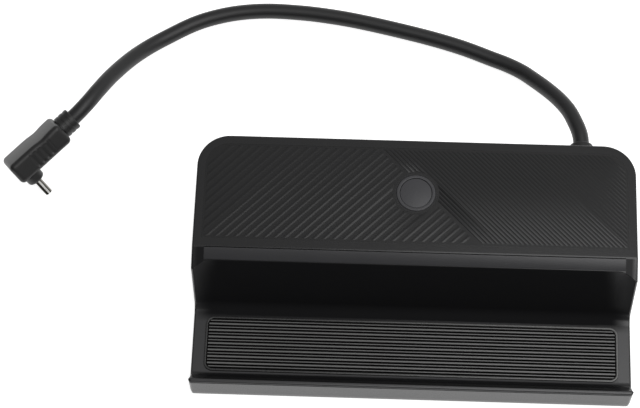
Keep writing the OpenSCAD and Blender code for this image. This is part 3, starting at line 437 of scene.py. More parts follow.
# Overmoulded TPE of the plug: a touch greyer and smoother than the jacket.
OVERMOULD = surface("overmoulded_tpe", "#191919", "#1f1f1f", 0.42, 0.4, 0.006)
# Nickel-plated stamped steel: bright, with faint drawing marks.
NICKEL = surface("nickel_plated_steel", "#cfcfcd", "#dcdcda", 0.13, 0.25, 0.001, metallic=1.0)
# The plug's tip: satin nickel, with a painted highlight on its round edges and painted shade on
# its flanks, so its thin edge shows as a pale line between dark ones.
TIP_HIGHLIGHT = surface("painted_highlight_nickel", "#fbf9f0", "#ffffff", 0.45, 0.25, 0.001, metallic=1.0)
TIP_SHADED_FLANK = surface("painted_shade_nickel", "#86847e", "#8e8c86", 0.2, 0.25, 0.001, metallic=1.0)
TIP_DEEP_SHADE = surface("painted_deep_shade_nickel", "#1c1b18", "#24231f", 0.2, 0.25, 0.001, metallic=1.0)
# Zinc-plated screws: greyer and duller than the connectors.
ZINC = surface("zinc_plated_steel", "#9fa2a6", "#b4b6b8", 0.34, 0.3, 0.003, metallic=1.0)
# Bare sheet steel: its rolled grain breaks the reflections up.
SHEET = surface("rolled_sheet_steel", "#a3a4a6", "#b3b4b5", 0.42, 0.4, 0.003, metallic=1.0)
# Glass-filled nylon contact carriers: black and matt.
CARRIER = surface("glass_filled_nylon", "#141414", "#1c1c1c", 0.5, 0.3, 0.004)
# Solder mask over fibreglass: green and slightly glossy.
LAMINATE = surface("solder_mask_green", "#174a2c", "#1d5635", 0.3, 0.5, 0.002)
# Extruded aluminium with a milled face: pale, with a soft metal sheen.
ALUMINIUM = surface("milled_aluminium", "#c4c6c8", "#d2d4d6", 0.3, 0.25, 0.003, metallic=1.0)


# ---------- pieces
def piece(name, shape, material, slot, replaced, body="dock", smooth_angle=35.0):
    """Makes a finished piece with its material, ties it to its body and hides the CAD node it
    replaces; slot is not used.
    """
    obj = mesh_object(name, *shape, smooth_angle=smooth_angle)
    obj.data.materials.append(material)
    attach(obj, body)
    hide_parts(replaced)
    return obj


def polygon_table(obj):
    """Middles of an object's faces in mm and their normals."""
    count = len(obj.data.polygons)
    middle, facing = np.empty(count * 3), np.empty(count * 3)
    obj.data.polygons.foreach_get("center", middle)
    obj.data.polygons.foreach_get("normal", facing)
    return middle.reshape(-1, 3) / MM, facing.reshape(-1, 3)


def second_finishes(obj, *finishes):
    """Gives the faces that a mask picks their own finish."""
    slot = np.zeros(len(obj.data.polygons), np.int32)
    for number, (material, mask) in enumerate(finishes, 1):
        obj.data.materials.append(material)
        slot[mask] = number
    obj.data.polygons.foreach_set("material_index", slot)


# ---------- lead and plug
# Middle line of the lead: from the rear panel down to the table, round and up to the plug
ROUTE = np.array([
    (56.2, 48.3, 14.2), (55.8, 52.35, 14.2), (54.4, 56.9, 13.6), (52.2, 62.35, 12.1),
    (48.95, 67.65, 10), (45.05, 72.6, 7.6), (40.75, 77.1, 5.5), (36.5, 80.9, 4),
    (31.3, 83.95, 3.2), (26.25, 86.15, 2.8), (16.25, 90.05, 2.8), (5.75, 93.3, 2.8),
    (-7.8, 96.7, 2.8), (-21.6, 99.7, 2.8), (-31.35, 101.3, 2.8), (-41.85, 102.4, 2.8),
    (-54.9, 102.7, 2.8), (-66.9, 101.1, 2.8), (-78.3, 97.3, 2.8), (-89.9, 90.2, 3.3),
    (-95.95, 85, 5), (-100.8, 78.85, 8.2), (-105.85, 70.4, 12.7), (-109.5, 63.3, 15.8),
    (-113.05, 57.2, 17), (-117.3, 52.3, 16.2),
])
CORD_D, CORD_LEN = 5.4, 220.0
PLUG_LEN, PLUG_T, PLUG_W, PLUG_R = 22.3, 8.2, 12.2, 1.6
RELIEF_LEN, RELIEF_R, RELIEF_RINGS = 5.4, 3.95, 3
RING_SUNK, RING_EDGE, HALF_GROOVE, CORE_IN, END_IN = 0.14, 0.1, 0.35, 1.6, (0.16, 0.3)
TIP_X, NOSE_H, NOSE_LEN, NOSE_W, NOSE_EDGE, NOSE_ROOT = 4.5, 2.9, 6.2, 10.8, 0.9, 0.8
TIP_T, TIP_W, TIP_LEN, TIP_WALL, TIP_EDGE = 2.56, 8.34, 6.2, 0.35, 0.2
GRIP_FROM, GRIP_TO, GRIP_SIDE = (7.4, 8.0), (16.0, 16.8), (2.6, 3.6)
GRIP_SUNK, RIDGE_H, RIDGE_STEP, RIDGE_AT = 0.1, 0.28, 2.1, 8.575
WAIST, WAIST_X, WAIST_LEN, WAIST_SIDE = 0.35, 14.4, 2.6, (0.5, 3.5)
PLUG_TURN, PLUG_PITCH, PLUG_ROLL = (math.radians(v) for v in (44.0, 10.0, 44.5))
plug_turned = (Matrix.Rotation(PLUG_TURN, 4, "Z") @ Matrix.Rotation(-PLUG_PITCH, 4, "Y")
               @ Matrix.Rotation(PLUG_ROLL, 4, "X"))
plug_dir = np.array(plug_turned.col[0][:3])
plug_at = ROUTE[-1] - plug_dir * (PLUG_LEN + RELIEF_LEN)
# Plug frame: +X towards the lead, -Y along the tip, +Z across the width
on_plug = Matrix.Translation(plug_at) @ plug_turned
QUARTER = math.radians(90)


def smooth_route(points, first_dir, last_dir, parts=8):
    """Cubic Hermite curve through the points, whose tangents run from the point before to the
    point after, over the length of both steps."""
    step = np.linalg.norm(np.diff(points, axis=0), axis=1)
    tangent = np.empty_like(points)
    tangent[1:-1] = (points[2:] - points[:-2]) / (step[1:] + step[:-1])[:, None]
    tangent[0], tangent[-1] = first_dir, last_dir
    t = np.linspace(0, 1, parts, endpoint=False)[None, :, None]
    p, q = points[:-1, None], points[1:, None]
    m, n = tangent[:-1, None] * step[:, None, None], tangent[1:, None] * step[:, None, None]
    curve = ((2 * t**3 - 3 * t**2 + 1) * p + (t**3 - 2 * t**2 + t) * m
             + (3 * t**2 - 2 * t**3) * q + (t**3 - t**2) * n)
    return np.concatenate([curve.reshape(-1, 3), points[-1:]])


def tube(path, radius, sides=28):
    """Circle carried along a path, across its direction and with one axis kept level."""
    along = unit(np.gradient(path, axis=0))
    side = unit(np.cross(along, [0, 0, 1.0]))
    rise = np.cross(side, along)
    a = np.linspace(0, 2 * np.pi, sides, endpoint=False)[None, :, None]
    points = path[:, None] + radius * (np.cos(a) * side[:, None] + np.sin(a) * rise[:, None])
    n = len(path)
    return points.reshape(-1, 3), flipped(grid_faces(n, sides, closed=True) + end_caps(n, sides))


lead_path = smooth_route(ROUTE, np.array([0, 1.0, 0]), -plug_dir)
lead = piece("lead", tube(lead_path, CORD_D / 2), JACKET, "lead_jacket", "cord")

# Strain relief: rings with rounded edges round a core
relief_profile = [(CORE_IN, 0.0)]
for k in range(RELIEF_RINGS):
    start, end = (i * RELIEF_LEN / RELIEF_RINGS for i in (k, k + 1))
    low, high = start + HALF_GROOVE, end - HALF_GROOVE
    relief_profile += [(RING_SUNK, start), (RING_SUNK, low - RING_EDGE), (0.0, low), (0.0, high),
                       (RING_SUNK, high + RING_EDGE)]
relief_profile += [(END_IN[0], RELIEF_LEN - RING_EDGE), (END_IN[1], RELIEF_LEN),
                   (CORE_IN, RELIEF_LEN)]
along_plug = on_plug @ Matrix.Translation((PLUG_LEN, 0, 0)) @ Matrix.Rotation(QUARTER, 4, "Y")
relief_shape = stack(circle_outline(RELIEF_R, steps=48), relief_profile)
relief = piece("strain_relief", moved(relief_shape, along_plug), OVERMOULD, "lead_jacket",
               "plug_strain_relief")


def plug_body():
    """A round-cornered section (thickness by width) carried along the plug: it shrinks as a
    quarter circle does near both ends, its broad sides have a shallow grip whose ridges follow a
    cosine, and a bell curve waists its back."""
    quarter = np.radians(np.arange(0, 91, 15))
    x = np.unique(np.round(np.concatenate([
        PLUG_R * (1 - np.cos(quarter)), np.linspace(2, 7, 5), np.linspace(7.2, 17, 70),
        np.linspace(17.3, PLUG_LEN - 2, 4), PLUG_LEN - PLUG_R * (1 - np.sin(quarter))]), 3))
    edge = np.minimum(x, PLUG_LEN - x)
    shrink = PLUG_R - np.sqrt(np.maximum(PLUG_R**2 - (PLUG_R - edge) ** 2, 0))
    inset = np.where(edge < PLUG_R, shrink, 0)
    side_r = PLUG_R + 0.1
    outline, normal = round_outline(PLUG_T, -PLUG_W / 2, PLUG_W / 2, side_r, side_r, steps=6)
    half = len(outline) // 2
    # more points along the broad sides, which carry the grips
    y_line = np.linspace(-PLUG_T / 2 + side_r, PLUG_T / 2 - side_r, 9)[1:-1]
    low = np.stack([y_line, np.full_like(y_line, -PLUG_W / 2)], -1)
    high = np.stack([y_line[::-1], np.full_like(y_line, PLUG_W / 2)], -1)
    down, up = (np.tile([0.0, sign], (len(y_line), 1)) for sign in (-1.0, 1.0))
    ring = np.concatenate([low, outline[:half], high, outline[half:]])
    out = np.concatenate([down, normal[:half], up, normal[half:]])
    section = ring[None] - out[None] * inset[:, None, None]
    across = section[..., 0]
    along_grip = smooth(x, *GRIP_FROM) * (1 - smooth(x, *GRIP_TO))
    across_grip = (1 - smooth(-across, *GRIP_SIDE)) * (1 - smooth(across, *GRIP_SIDE))
    ridge = 0.5 + 0.5 * np.cos(2 * np.pi * (x - RIDGE_AT) / RIDGE_STEP)
    broad = np.abs(out[:, 1]) > 0.99
    depth = (along_grip * (GRIP_SUNK + RIDGE_H * ridge))[:, None] * across_grip * broad[None]
    section = section - out[None] * depth[..., None]
    waist = WAIST * np.exp(-((x - WAIST_X) / WAIST_LEN) ** 2)
    section[..., 0] -= waist[:, None] * smooth(section[..., 0], *WAIST_SIDE)
    stations = np.broadcast_to(x[:, None, None], section.shape[:2] + (1,))
    points = np.concatenate([stations, section], -1).reshape(-1, 3)
    rows, n = section.shape[:2]
    return points, grid_faces(rows, n, closed=True) + end_caps(rows, n)


# The stack's height runs along the tip
along_tip = (on_plug @ Matrix.Translation((TIP_X, -PLUG_T / 2, 0))
             @ Matrix.Rotation(QUARTER, 4, "X"))
nose = stack(stadium(NOSE_W, NOSE_LEN), [(0.0, -NOSE_ROOT), (0.0, NOSE_H - NOSE_EDGE)]
             + soft_edge(0.0, NOSE_H, NOSE_EDGE, "up"))
plug = piece("plug_overmould", joined(moved(plug_body(), on_plug), moved(nose, along_tip)),
             OVERMOULD, "plug_plastic", "plug_body")

tip_end = NOSE_H + TIP_LEN
tip_profile = ([(0.0, NOSE_H - 0.2), (0.0, tip_end - TIP_EDGE - 0.05)]
               + soft_edge(0.0, tip_end, TIP_EDGE, "up", 3)
               + [(TIP_WALL, tip_end - 0.1), (TIP_WALL, NOSE_H + TIP_WALL)])
tip = piece("plug_tip", moved(stack(stadium(TIP_W, TIP_T), tip_profile), along_tip), TIP_SHADED_FLANK,
            "connector_steel", "plug_shell")
# painted highlight on the round edges, and the darkest painted shade on the flank that faces away
# from the lead
HIGHLIGHT_SINE, FLAT = 0.25, 0.95          # sines of the angles between a face and the tip's thin edge
facing = polygon_table(tip)[1]
to_lead, over_edge = facing @ plug_dir, np.abs(facing @ np.array(on_plug.col[2][:3]))
second_finishes(tip, (TIP_HIGHLIGHT, (np.abs(to_lead) < HIGHLIGHT_SINE) & (over_edge > 0.9)),
                (TIP_DEEP_SHADE, (to_lead <= -HIGHLIGHT_SINE) & (to_lead > -FLAT)))

# Collar where the lead leaves the rear panel, with its neck in the wall and its flange behind it
gland_frame = Matrix.Translation((GLAND_X, 0, GLAND_Z)) @ Matrix.Rotation(-QUARTER, 4, "X")
neck_in, collar_in = GLAND_FLANGE_R - GLAND_NECK_R, GLAND_FLANGE_R - GLAND_R
collar_end = REAR_Y + GLAND_LEN
gland_profile = ([(0, REAR_Y - WALL - GLAND_FLANGE_T), (0, REAR_Y - WALL), (neck_in, REAR_Y - WALL),
                  (neck_in, REAR_Y), (collar_in, REAR_Y), (collar_in, collar_end - GLAND_EDGE)]
                 + soft_edge(collar_in, collar_end, GLAND_EDGE, "up"))
gland_shape = stack(circle_outline(GLAND_FLANGE_R, steps=64), gland_profile)
piece("lead_collar", moved(gland_shape, gland_frame), JACKET, "lead_jacket", "cable_gland")

# ---------- housing
EDGE = 0.6                         # radius of the soft outer edges
EAR_OUT = 3.4                      # how far the ears stand in front of the backrest at the top
SIDE_IN, TOP_IN = 0.18, 0.2        # how far each side stands in at the base and at the top
BULGE_FROM, BULGE_TO = (0.15, 0.4), (0.8, 0.98)    # shares of the height where it stands out
RECESS_HALF = HALF_W - REAR_R      # half the width of the evenly dull part of the backrest
LIP_OUT, LIP_ENDS = 0.3, (66, 71)  # how far the lip's ends stand out, and where that begins
LIP_SLOPE = 2.6                    # depth of the slope behind the lip
# how far before and after each corner of the side profile its rounding starts, front to rear
TRIMS = [0, 0.3, 1.2, 3.0, 0.2, 0.5, 0]
ARC_STEPS = 6
GROOVE_Z, GROOVE_H, GROOVE_D = LIP_H - 0.9, 0.24, 0.4
# rows of the walls from top to bottom: share of the height at the sides and the rear, height at
# the front, and depth of the front's groove
WALL_ROWS = ((0.1, GROOVE_Z + GROOVE_H + 0.02, 0.0), (0.2, GROOVE_Z + GROOVE_H, GROOVE_D),
             (0.3, GROOVE_Z, GROOVE_D), (0.4, GROOVE_Z - 0.04, 0.0), (0.6, 5.0, 0.0),
             (1.0, BASE_TOP, 0.0))


def soft_path(corners, trims, steps):
    """Line through corners (stations x corners x 2) whose corners are parabolic arcs that start and
    end trims away from the corner. Returns the points and the upward normals."""
    points, normals = [], []
    last = corners.shape[1] - 1
    t = np.linspace(0, 1, steps + 1)[None, :, None]
    for k in range(last + 1):
        p = corners[:, k, None, :]
        if k in (0, last):
            first = 0 if k == 0 else last - 1
            step = corners[:, first + 1] - corners[:, first]
            tangent = unit(step)[:, None, :]
            points.append(p)
        else:
            a = corners[:, k] - corners[:, k - 1]
            b = corners[:, k + 1] - corners[:, k]
            len_a, len_b = (np.linalg.norm(v, axis=-1, keepdims=True) for v in (a, b))
            trim = np.minimum(trims[k], 0.49 * np.minimum(len_a, len_b))[:, None, :]
            a, b = (a / len_a)[:, None, :], (b / len_b)[:, None, :]
            points.append((1 - t) ** 2 * (p - a * trim) + 2 * t * (1 - t) * p
                          + t**2 * (p + b * trim))
            tangent = unit((1 - t) * a + t * b)
        normals.append(np.stack([-tangent[..., 1], tangent[..., 0]], -1))
    return np.concatenate(points, 1), np.concatenate(normals, 1)


def housing_stations():
    """Distances across the width: dense where the cheeks curve and where the corners turn."""
    turn = np.radians(np.arange(0, 91, 5))
    outer = np.concatenate([
        [0.0, 20.0, 40.0, 55.0],
        np.linspace(HALF_W - CHEEK_W, HALF_W - EDGE, 14),
        HALF_W - REAR_R + (REAR_R - EDGE) * np.sin(turn),
        HALF_W - FRONT_R + (FRONT_R - EDGE) * np.sin(turn[::3]),
    ])
    outer = np.unique(np.round(outer, 3))
    return np.concatenate([-outer[::-1], outer[1:]])


def housing_skin():
    """Side profiles at stations across the width: lip, ledge, leaning backrest, sloping band and
    flat top. The lean falls with the square of the way over each cheek. A quarter circle rounds
    the rim, and a wall drops to the base."""
    x = housing_stations()
    ax = np.abs(x)
    s = np.clip((ax - (HALF_W - CHEEK_W)) / CHEEK_W, 0, 1)
    rear_in = np.clip(ax - (HALF_W - REAR_R), 0, REAR_R - EDGE)
    y_rear = REAR_Y - REAR_R + np.sqrt((REAR_R - EDGE) ** 2 - rear_in**2)
    front_in = np.clip(ax - (HALF_W - FRONT_R), 0, FRONT_R - EDGE)
    y_front = FRONT_Y + FRONT_LEAN + FRONT_R - np.sqrt((FRONT_R - EDGE) ** 2 - front_in**2)
    lean = BACK_TAN - EAR_OUT / (BODY_H - LEDGE_H) * s**2
    # where the leaning line meets the band's slope
    z_edge = ((BODY_H - BAND_SLOPE * (TOP_FRONT_Y - FOOT_Y + lean * LEDGE_H))
              / (1 - BAND_SLOPE * lean))
    y_edge = FOOT_Y + (z_edge - LEDGE_H) * lean
    profile = ((y_front, LIP_H), (LIP_BACK_Y, LIP_H), (LIP_BACK_Y + LIP_SLOPE, LEDGE_H),
               (FOOT_Y, LEDGE_H), (y_edge, z_edge), (TOP_FRONT_Y, BODY_H), (y_rear, BODY_H))
    one = np.ones_like(x)
    corners = np.stack([np.stack([y * one, z * one], -1) for y, z in profile], 1)
    path, normal = soft_path(corners, TRIMS, ARC_STEPS)
    n, m = path.shape[:2]
    top = np.concatenate([np.broadcast_to(x[:, None, None], (n, m, 1)), path], -1)
    # the rim, counter-clockwise: front edge, right end, rear edge, left end
    loop_i = np.r_[0:n - 1, [n - 1] * (m - 1), n - 1:0:-1, [0] * (m - 1)]
    loop_j = np.r_[[0] * (n - 1), 0:m - 1, [m - 1] * (n - 1), m - 1:0:-1]
    rim = top[loop_i, loop_j]
    outward = np.zeros_like(rim)
    side = (loop_i == 0) | (loop_i == n - 1)
    outward[side, 0] = np.sign(rim[side, 0])
    for part, sign, radius, off in ((~side & (loop_j == m - 1), 1, REAR_R, rear_in),
                                    (~side & (loop_j == 0), -1, FRONT_R, front_in)):
        along = off[loop_i[part]] / (radius - EDGE)
        outward[part, 0] = np.sign(rim[part, 0]) * along
        outward[part, 1] = sign * np.sqrt(np.maximum(1 - along**2, 0))
    up = np.zeros_like(rim)
    up[:, 2] = 1
    up[side, 1:] = normal[loop_i[side], loop_j[side]]
    turn = np.radians(np.linspace(0, 90, ARC_STEPS + 1))[1:, None, None]
    rounding = rim + outward * EDGE * np.sin(turn) - up * EDGE * (1 - np.cos(turn))
    wall = rounding[-1]
    is_front = np.clip(-outward[:, 1], 0, 1) * (rim[:, 1] < 0)
    at_front = is_front > 0.02
    rows = [*rounding]
    for share, z, depth in WALL_ROWS:
        row = wall.copy()
        row[:, 2] = np.where(at_front, z, wall[:, 2] + (BASE_TOP - wall[:, 2]) * share)
        row -= outward * (depth * at_front)[:, None]
        row[:, 1] -= is_front * FRONT_LEAN * (1 - z / LIP_H)
        rows.append(row)
    count = len(rim)
    points = np.concatenate([top.reshape(-1, 3), *rows])
    ring = np.arange(count)
    after = (ring + 1) % count
    first = n * m
    rim_index = loop_i * m + loop_j
    faces = flipped(grid_faces(n, m))
    faces += np.stack([first + ring, first + after, rim_index[after], rim_index[ring]],
                      -1).tolist()
    for low in range(first + count, first + len(rows) * count, count):
        faces += np.stack([low + ring, low + after, first + after, first + ring], -1).tolist()
        first = low
    middle = len(points)
    points = np.concatenate([points, [[0.0, 0.0, BASE_TOP]]])
    faces += [[middle, low + b, low + a] for a, b in zip(ring.tolist(), after.tolist())]
    # the sides bulge slightly between the base and the top, and the lip's ends stand out
    share = (points[:, 2] - BASE_TOP) / (BODY_H - BASE_TOP)
    bulge = smooth(share, *BULGE_FROM) * (1 - smooth(share, *BULGE_TO))
    points[:, 0] *= 1 - (SIDE_IN + (TOP_IN - SIDE_IN) * share - SIDE_IN * bulge) / HALF_W
    lip = ((1 - smooth(points[:, 1], LIP_BACK_Y - 0.1, LIP_BACK_Y + 0.7))
           * smooth(np.abs(points[:, 0]), *LIP_ENDS))
    points[:, 0] += np.sign(points[:, 0]) * lip * LIP_OUT
    return points, faces


def on_slope(y, below=0.0):
    """A (y, z) point on the sloping band, or so far below it."""
    return y, BODY_H - (TOP_FRONT_Y - y) * BAND_SLOPE - below


PANEL_TOP = round_outline(BODY_W - 2 * PANEL_BORDER, TOP_FRONT_Y + PANEL_BORDER,
                          REAR_Y - PANEL_BORDER, 0.3, REAR_R - PANEL_BORDER)


def inward_normals(outline):
    """For each side of a counter-clockwise outline, the unit vector that points inside."""
    side = np.roll(outline, -1, axis=0) - outline
    return unit(np.stack([-side[:, 1], side[:, 0]], -1))


def pierced_plate(gap, z_low, z_high):
    """Plate with the panel's outline and a round opening, smaller by gap all round: it runs along
    rays from the opening to the nearest side of the outline."""
    points, normals = PANEL_TOP
    outer = points - gap * normals
    middle = np.array([0.0, BUTTON_Y])
    to_corners = np.arctan2(*(outer - middle).T[::-1])
    even = np.linspace(-np.pi, np.pi, 96, endpoint=False)
    angle = np.unique(np.round(np.concatenate([to_corners, even]), 4))
    ray = np.stack([np.cos(angle), np.sin(angle)], -1)
    inward = inward_normals(outer)
    rate = ray @ inward.T
    with np.errstate(divide="ignore", invalid="ignore"):
        reach = np.where(rate < -1e-9, ((outer - middle) * inward).sum(-1) / rate, np.inf).min(1)
    hole, rim = middle + (HOLE_R + gap) * ray, middle + reach[:, None] * ray
    rings = ((hole, z_low), (hole, z_high), (rim, z_high), (rim, z_low))
    n, last = len(angle), (len(rings) - 1) * len(angle)
    faces = flipped(grid_faces(len(rings), n, closed=True))
    faces += [[i, (i + 1) % n, last + (i + 1) % n, last + i] for i in range(n)]
    return np.concatenate([np.column_stack([p, np.full(n, z)]) for p, z in rings]), faces


def port_outline(kind, grow):
    """Width by height of a port's opening, from its lower edge, with grow added all round. HDMI is
    a box whose lower corners are cut off."""
    if kind == "hdmi":
        w, n, h, s = 7.5 + grow, 5.9 + grow, 5.6 + grow, 1.9 - grow
        corners = np.array([(n, -grow), (w, s), (w, h), (-w, h), (-w, s), (-n, -grow)])
        return corners, np.zeros_like(corners)
    width, height, r, steps = ((13.1, 5.7, 0.3, 3) if kind == "usb_a"
                               else (9.0, 3.3, 1.649 + grow, 8))
    return round_outline(width + 2 * grow, -grow, height + grow, r, r, steps)


OVER = 1.0                         # how far a cut reaches past the face that it opens
SEAM, STRIP_RIM, STRIP_REAR = 0.02, 0.28, 0.22     # seams, and the strip's front and rear rims
PORT_DEPTH = 15.0

to_rear = Matrix.Rotation(QUARTER, 4, "X")
port_cuts = []
for port_x, kind in PORTS:
    hole = stack(port_outline(kind, PORT_GAP), [(0, -REAR_Y - OVER), (0, -REAR_Y + PORT_DEPTH)])
    port_cuts.append(moved(hole, Matrix.Translation((port_x, 0, PCB_TOP)) @ to_rear))
gland_cut = moved(stack(circle_outline(GLAND_NECK_R + 0.05, steps=48),
                        [(0, REAR_Y - 2 * WALL), (0, REAR_Y + OVER)]), gland_frame)
mat_cut = stack(round_outline(MAT_W + 2 * MAT_GAP, MAT_Y - MAT_GAP, MAT_Y + MAT_D + MAT_GAP,
                              MAT_R + MAT_GAP, MAT_R + MAT_GAP),
                [(0, MAT_FLOOR), (0, LEDGE_H + 2 * OVER)])
panel_cut = pierced_plate(0.0, PANEL_Z, BODY_H + OVER)
# wide below the top wall for the cap's flange, narrow through it, and wide again for the ring
FLANGE_ROOM, BORE_IN, FLANGE_DEPTH = -0.6, 1.15, 9.0
wall_z, seat_z = BODY_H - WALL, BODY_H - RING_SEAT
button_cut = stack(circle_outline(RING_R + 0.05, y=BUTTON_Y),
                   [(FLANGE_ROOM, BODY_H - FLANGE_DEPTH), (FLANGE_ROOM, wall_z),
                    (BORE_IN, wall_z), (BORE_IN, seat_z), (0, seat_z), (0, BODY_H + OVER)])
cut_y = BAND_Y + STRIP_RIM
strip_cut = side_prism([on_slope(cut_y, STRIP_T), (TOP_FRONT_Y, BODY_H - STRIP_T),
                        (TOP_FRONT_Y, BODY_H + OVER), (cut_y, BODY_H + OVER)],
                       -STRIP_W / 2 - SEAM, STRIP_W / 2 + SEAM)

housing = piece("housing", housing_skin(), HOUSING, "housing_plastic", "top_shell")
carve(housing, panel_cut, strip_cut, mat_cut, button_cut, gland_cut, *port_cuts)
housing.modifiers.new("even_shading", "WEIGHTED_NORMAL").keep_sharp = True
# the outer front face is polished, with painted reflection in its paler tone, and the middle of the
# backrest gets painted shade
middle, facing = polygon_table(housing)
polished_painted_reflection = (facing[:, 1] < -0.8) & (middle[:, 1] < FRONT_Y + FRONT_LEAN + 0.2)
shaded_recess = ((np.abs(middle[:, 0]) < RECESS_HALF) & (middle[:, 1] > SHADE_LEDGE[1])
          & (middle[:, 1] < BEHIND_BAND[0]) & (middle[:, 2] > LEDGE_H - 0.1) & (facing[:, 2] > 0))
second_finishes(housing, (FRONT_GLOSS_PAINTED_REFLECTION, polished_painted_reflection), (SHADED_RECESS, shaded_recess))

# ---------- strip in the band
BEVEL, BEVEL_DROP = 0.12, 0.06     # the strip's bevelled long edges
strip_y0, strip_y1 = cut_y + SEAM, TOP_FRONT_Y - STRIP_REAR
strip_section = [on_slope(strip_y0, STRIP_T), on_slope(strip_y1, STRIP_T),
                 on_slope(strip_y1, BEVEL_DROP), on_slope(strip_y1 - BEVEL),
                 on_slope(strip_y0 + BEVEL), on_slope(strip_y0, BEVEL_DROP)]
piece("band_strip_piece", side_prism(strip_section, -STRIP_W / 2, STRIP_W / 2), STRIP,
      "strip_plastic", "band_strip", smooth_angle=20.0)

# ---------- ribbed panel
PANEL_FACE = BODY_H - 0.03
RIB_EDGE, RIB_LEAST = 0.5, 1.2     # gap to the panel's edge and the opening, and least length
LEFT_STOP, RIGHT_STOP = 0.4, 0.2   # gaps to the slanting line
RIB_ROOT = -0.05
LEFT_WIDTH, LEFT_RISE = 1.3, 0.06
RIGHT_WIDTH, RIGHT_RISE, SHOULDER = RIB_PITCH / 2 - 0.3, 0.1, 0.2


def inside_interval(origin, direction, edge_at, inward):
    """For each line origin + t direction, the least and the greatest t that lie on the inner side
    of every edge."""
    gap = ((edge_at[None] - origin[:, None]) * inward[None]).sum(-1)
    rate = np.broadcast_to((inward @ direction)[None], gap.shape)
    with np.errstate(divide="ignore", invalid="ignore"):
        t = gap / rate
    low = np.where(rate > 1e-9, t, -np.inf).max(1)
    high = np.where(rate < -1e-9, t, np.inf).min(1)
    missed = ((np.abs(rate) <= 1e-9) & (gap > 0)).any(1)
    return low, np.where(missed, low, high)


def rib_field(angle, centres, width, section, rise, half_planes):
    """Ribs at an angle to the width: every line along one is cut by the panel's edge, by the line
    between the two fields and by the opening round the button."""
    along = np.array([math.cos(angle), math.sin(angle)])
    across = np.array([-math.sin(angle), math.cos(angle)])
    middle = np.array([FIELD_X, BUTTON_Y])
    button = np.array([0.0, BUTTON_Y]) - middle
    near = button @ along
    shapes = []
    for centre in centres:
        offset = centre + section * width
        origin = middle + offset[:, None] * across
        low, high = inside_interval(origin, along, *half_planes)
        reach = np.sqrt(np.maximum((HOLE_R + RIB_EDGE) ** 2 - (offset - button @ across) ** 2, 0))
        spans = [(low, high)] if not reach.any() else [(low, np.minimum(high, near - reach)),
                                                      (np.maximum(low, near + reach), high)]
        for start, end in spans:
            if (end - start).min() > RIB_LEAST:
                shapes.append(section_bar(start, end, offset, rise,
                                          lambda a, c: origin[None] + a[..., None] * along))
    return shapes


def top_panel():
    """The plate with two fields of ribs: to the left of a slanting line soft ones, whose section
    is a squared cosine, and to its right flat ones with round shoulders at half the pitch."""
    outer = PANEL_TOP[0] - 0.1 * PANEL_TOP[1]
    inward = inward_normals(outer)
    right_up = np.array([[math.sqrt(0.5), math.sqrt(0.5)]])
    top = np.linspace(-0.5, 0.5, 9)
    soft = LEFT_RISE * np.cos(np.pi * top) ** 2
    flat = RIGHT_RISE * np.clip((0.5 - np.abs(top)) / SHOULDER, 0, 1) ** 0.7
    ribs = []
    for side, stop, pitch, width, rise in ((-1, LEFT_STOP, RIB_PITCH, LEFT_WIDTH, soft),
                                           (1, RIGHT_STOP, RIB_PITCH / 2, RIGHT_WIDTH, flat)):
        slant = np.array([[FIELD_X, BUTTON_Y]]) + side * stop * right_up
        planes = (np.concatenate([outer + inward * RIB_EDGE, slant]),
                  np.concatenate([inward, side * right_up]))
        count = int(BODY_W / pitch)
        ribs += rib_field(-side * math.radians(45), np.arange(-count, count + 1) * pitch, width,
                          np.append(top, [0.5, -0.5]), np.append(rise, [RIB_ROOT] * 2), planes)
    ribs = [(p + np.array([0, 0, PANEL_FACE]), flipped(f)) for p, f in ribs]
    return joined(pierced_plate(SEAM, PANEL_Z, PANEL_FACE), *ribs)


piece("ribbed_panel", top_panel(), PANEL, "panel_plastic", "top_panel", smooth_angle=50.0)

# ---------- ribbed mat
MAT_BARS = 15
WIDE_BAR, NARROW_BAR = (0.74, 0.7), (0.44, 0.66)   # width at the foot and height
BAR_ROOT, BAR_SHOULDER, BAR_GAP, MAT_EDGE = -0.1, 0.16, 0.05, 0.15


def mat():
    """A slab with a raised border, as rings of its outline, and wide and narrow bars in turn,
    whose ends follow the border's corners and whose shoulders fall as a square root does."""
    outline = round_outline(MAT_W, MAT_Y, MAT_Y + MAT_D, MAT_R, MAT_R, 12)
    profile = ([(0, MAT_FLOOR)] + soft_edge(0, MAT_TOP, MAT_EDGE, "up", 3)
               + soft_edge(MAT_BORDER, MAT_TOP, MAT_EDGE, "down", 3) + [(MAT_BORDER, MAT_FACE)])
    shapes = [stack(outline, profile)]
    step = (MAT_D - MAT_BORDER) / (MAT_BARS + 1)
    inner_r = MAT_R - MAT_BORDER
    low, high = MAT_Y + MAT_BORDER + inner_r, MAT_Y + MAT_D - MAT_BORDER - inner_r
    top = np.linspace(-0.5, 0.5, 7)
    shoulder = np.clip((0.5 - np.abs(top)) / BAR_SHOULDER, 0, 1) ** 0.5
    for k in range(1, MAT_BARS + 1):
        foot, height = NARROW_BAR if k % 2 else WIDE_BAR
        y = MAT_Y + MAT_BORDER / 2 + k * step + np.append(top, [0.5, -0.5]) * foot
        rise = np.append(height * shoulder, [BAR_ROOT] * 2)
        off = np.clip(np.maximum(low - y, y - high), 0, inner_r)
        reach = MAT_W / 2 - MAT_BORDER - inner_r + np.sqrt(inner_r**2 - off**2) - BAR_GAP
        points, faces = section_bar(-reach, reach, y, rise, lambda a, c: np.stack([a, c], -1))
        points[:, 2] += MAT_FACE
        shapes.append((points, flipped(faces)))
    return joined(*shapes)


ribbed_mat = piece("ribbed_mat", mat(), MAT, "mat_rubber", "anti_slip_mat", smooth_angle=40.0)
middle, facing = polygon_table(ribbed_mat)
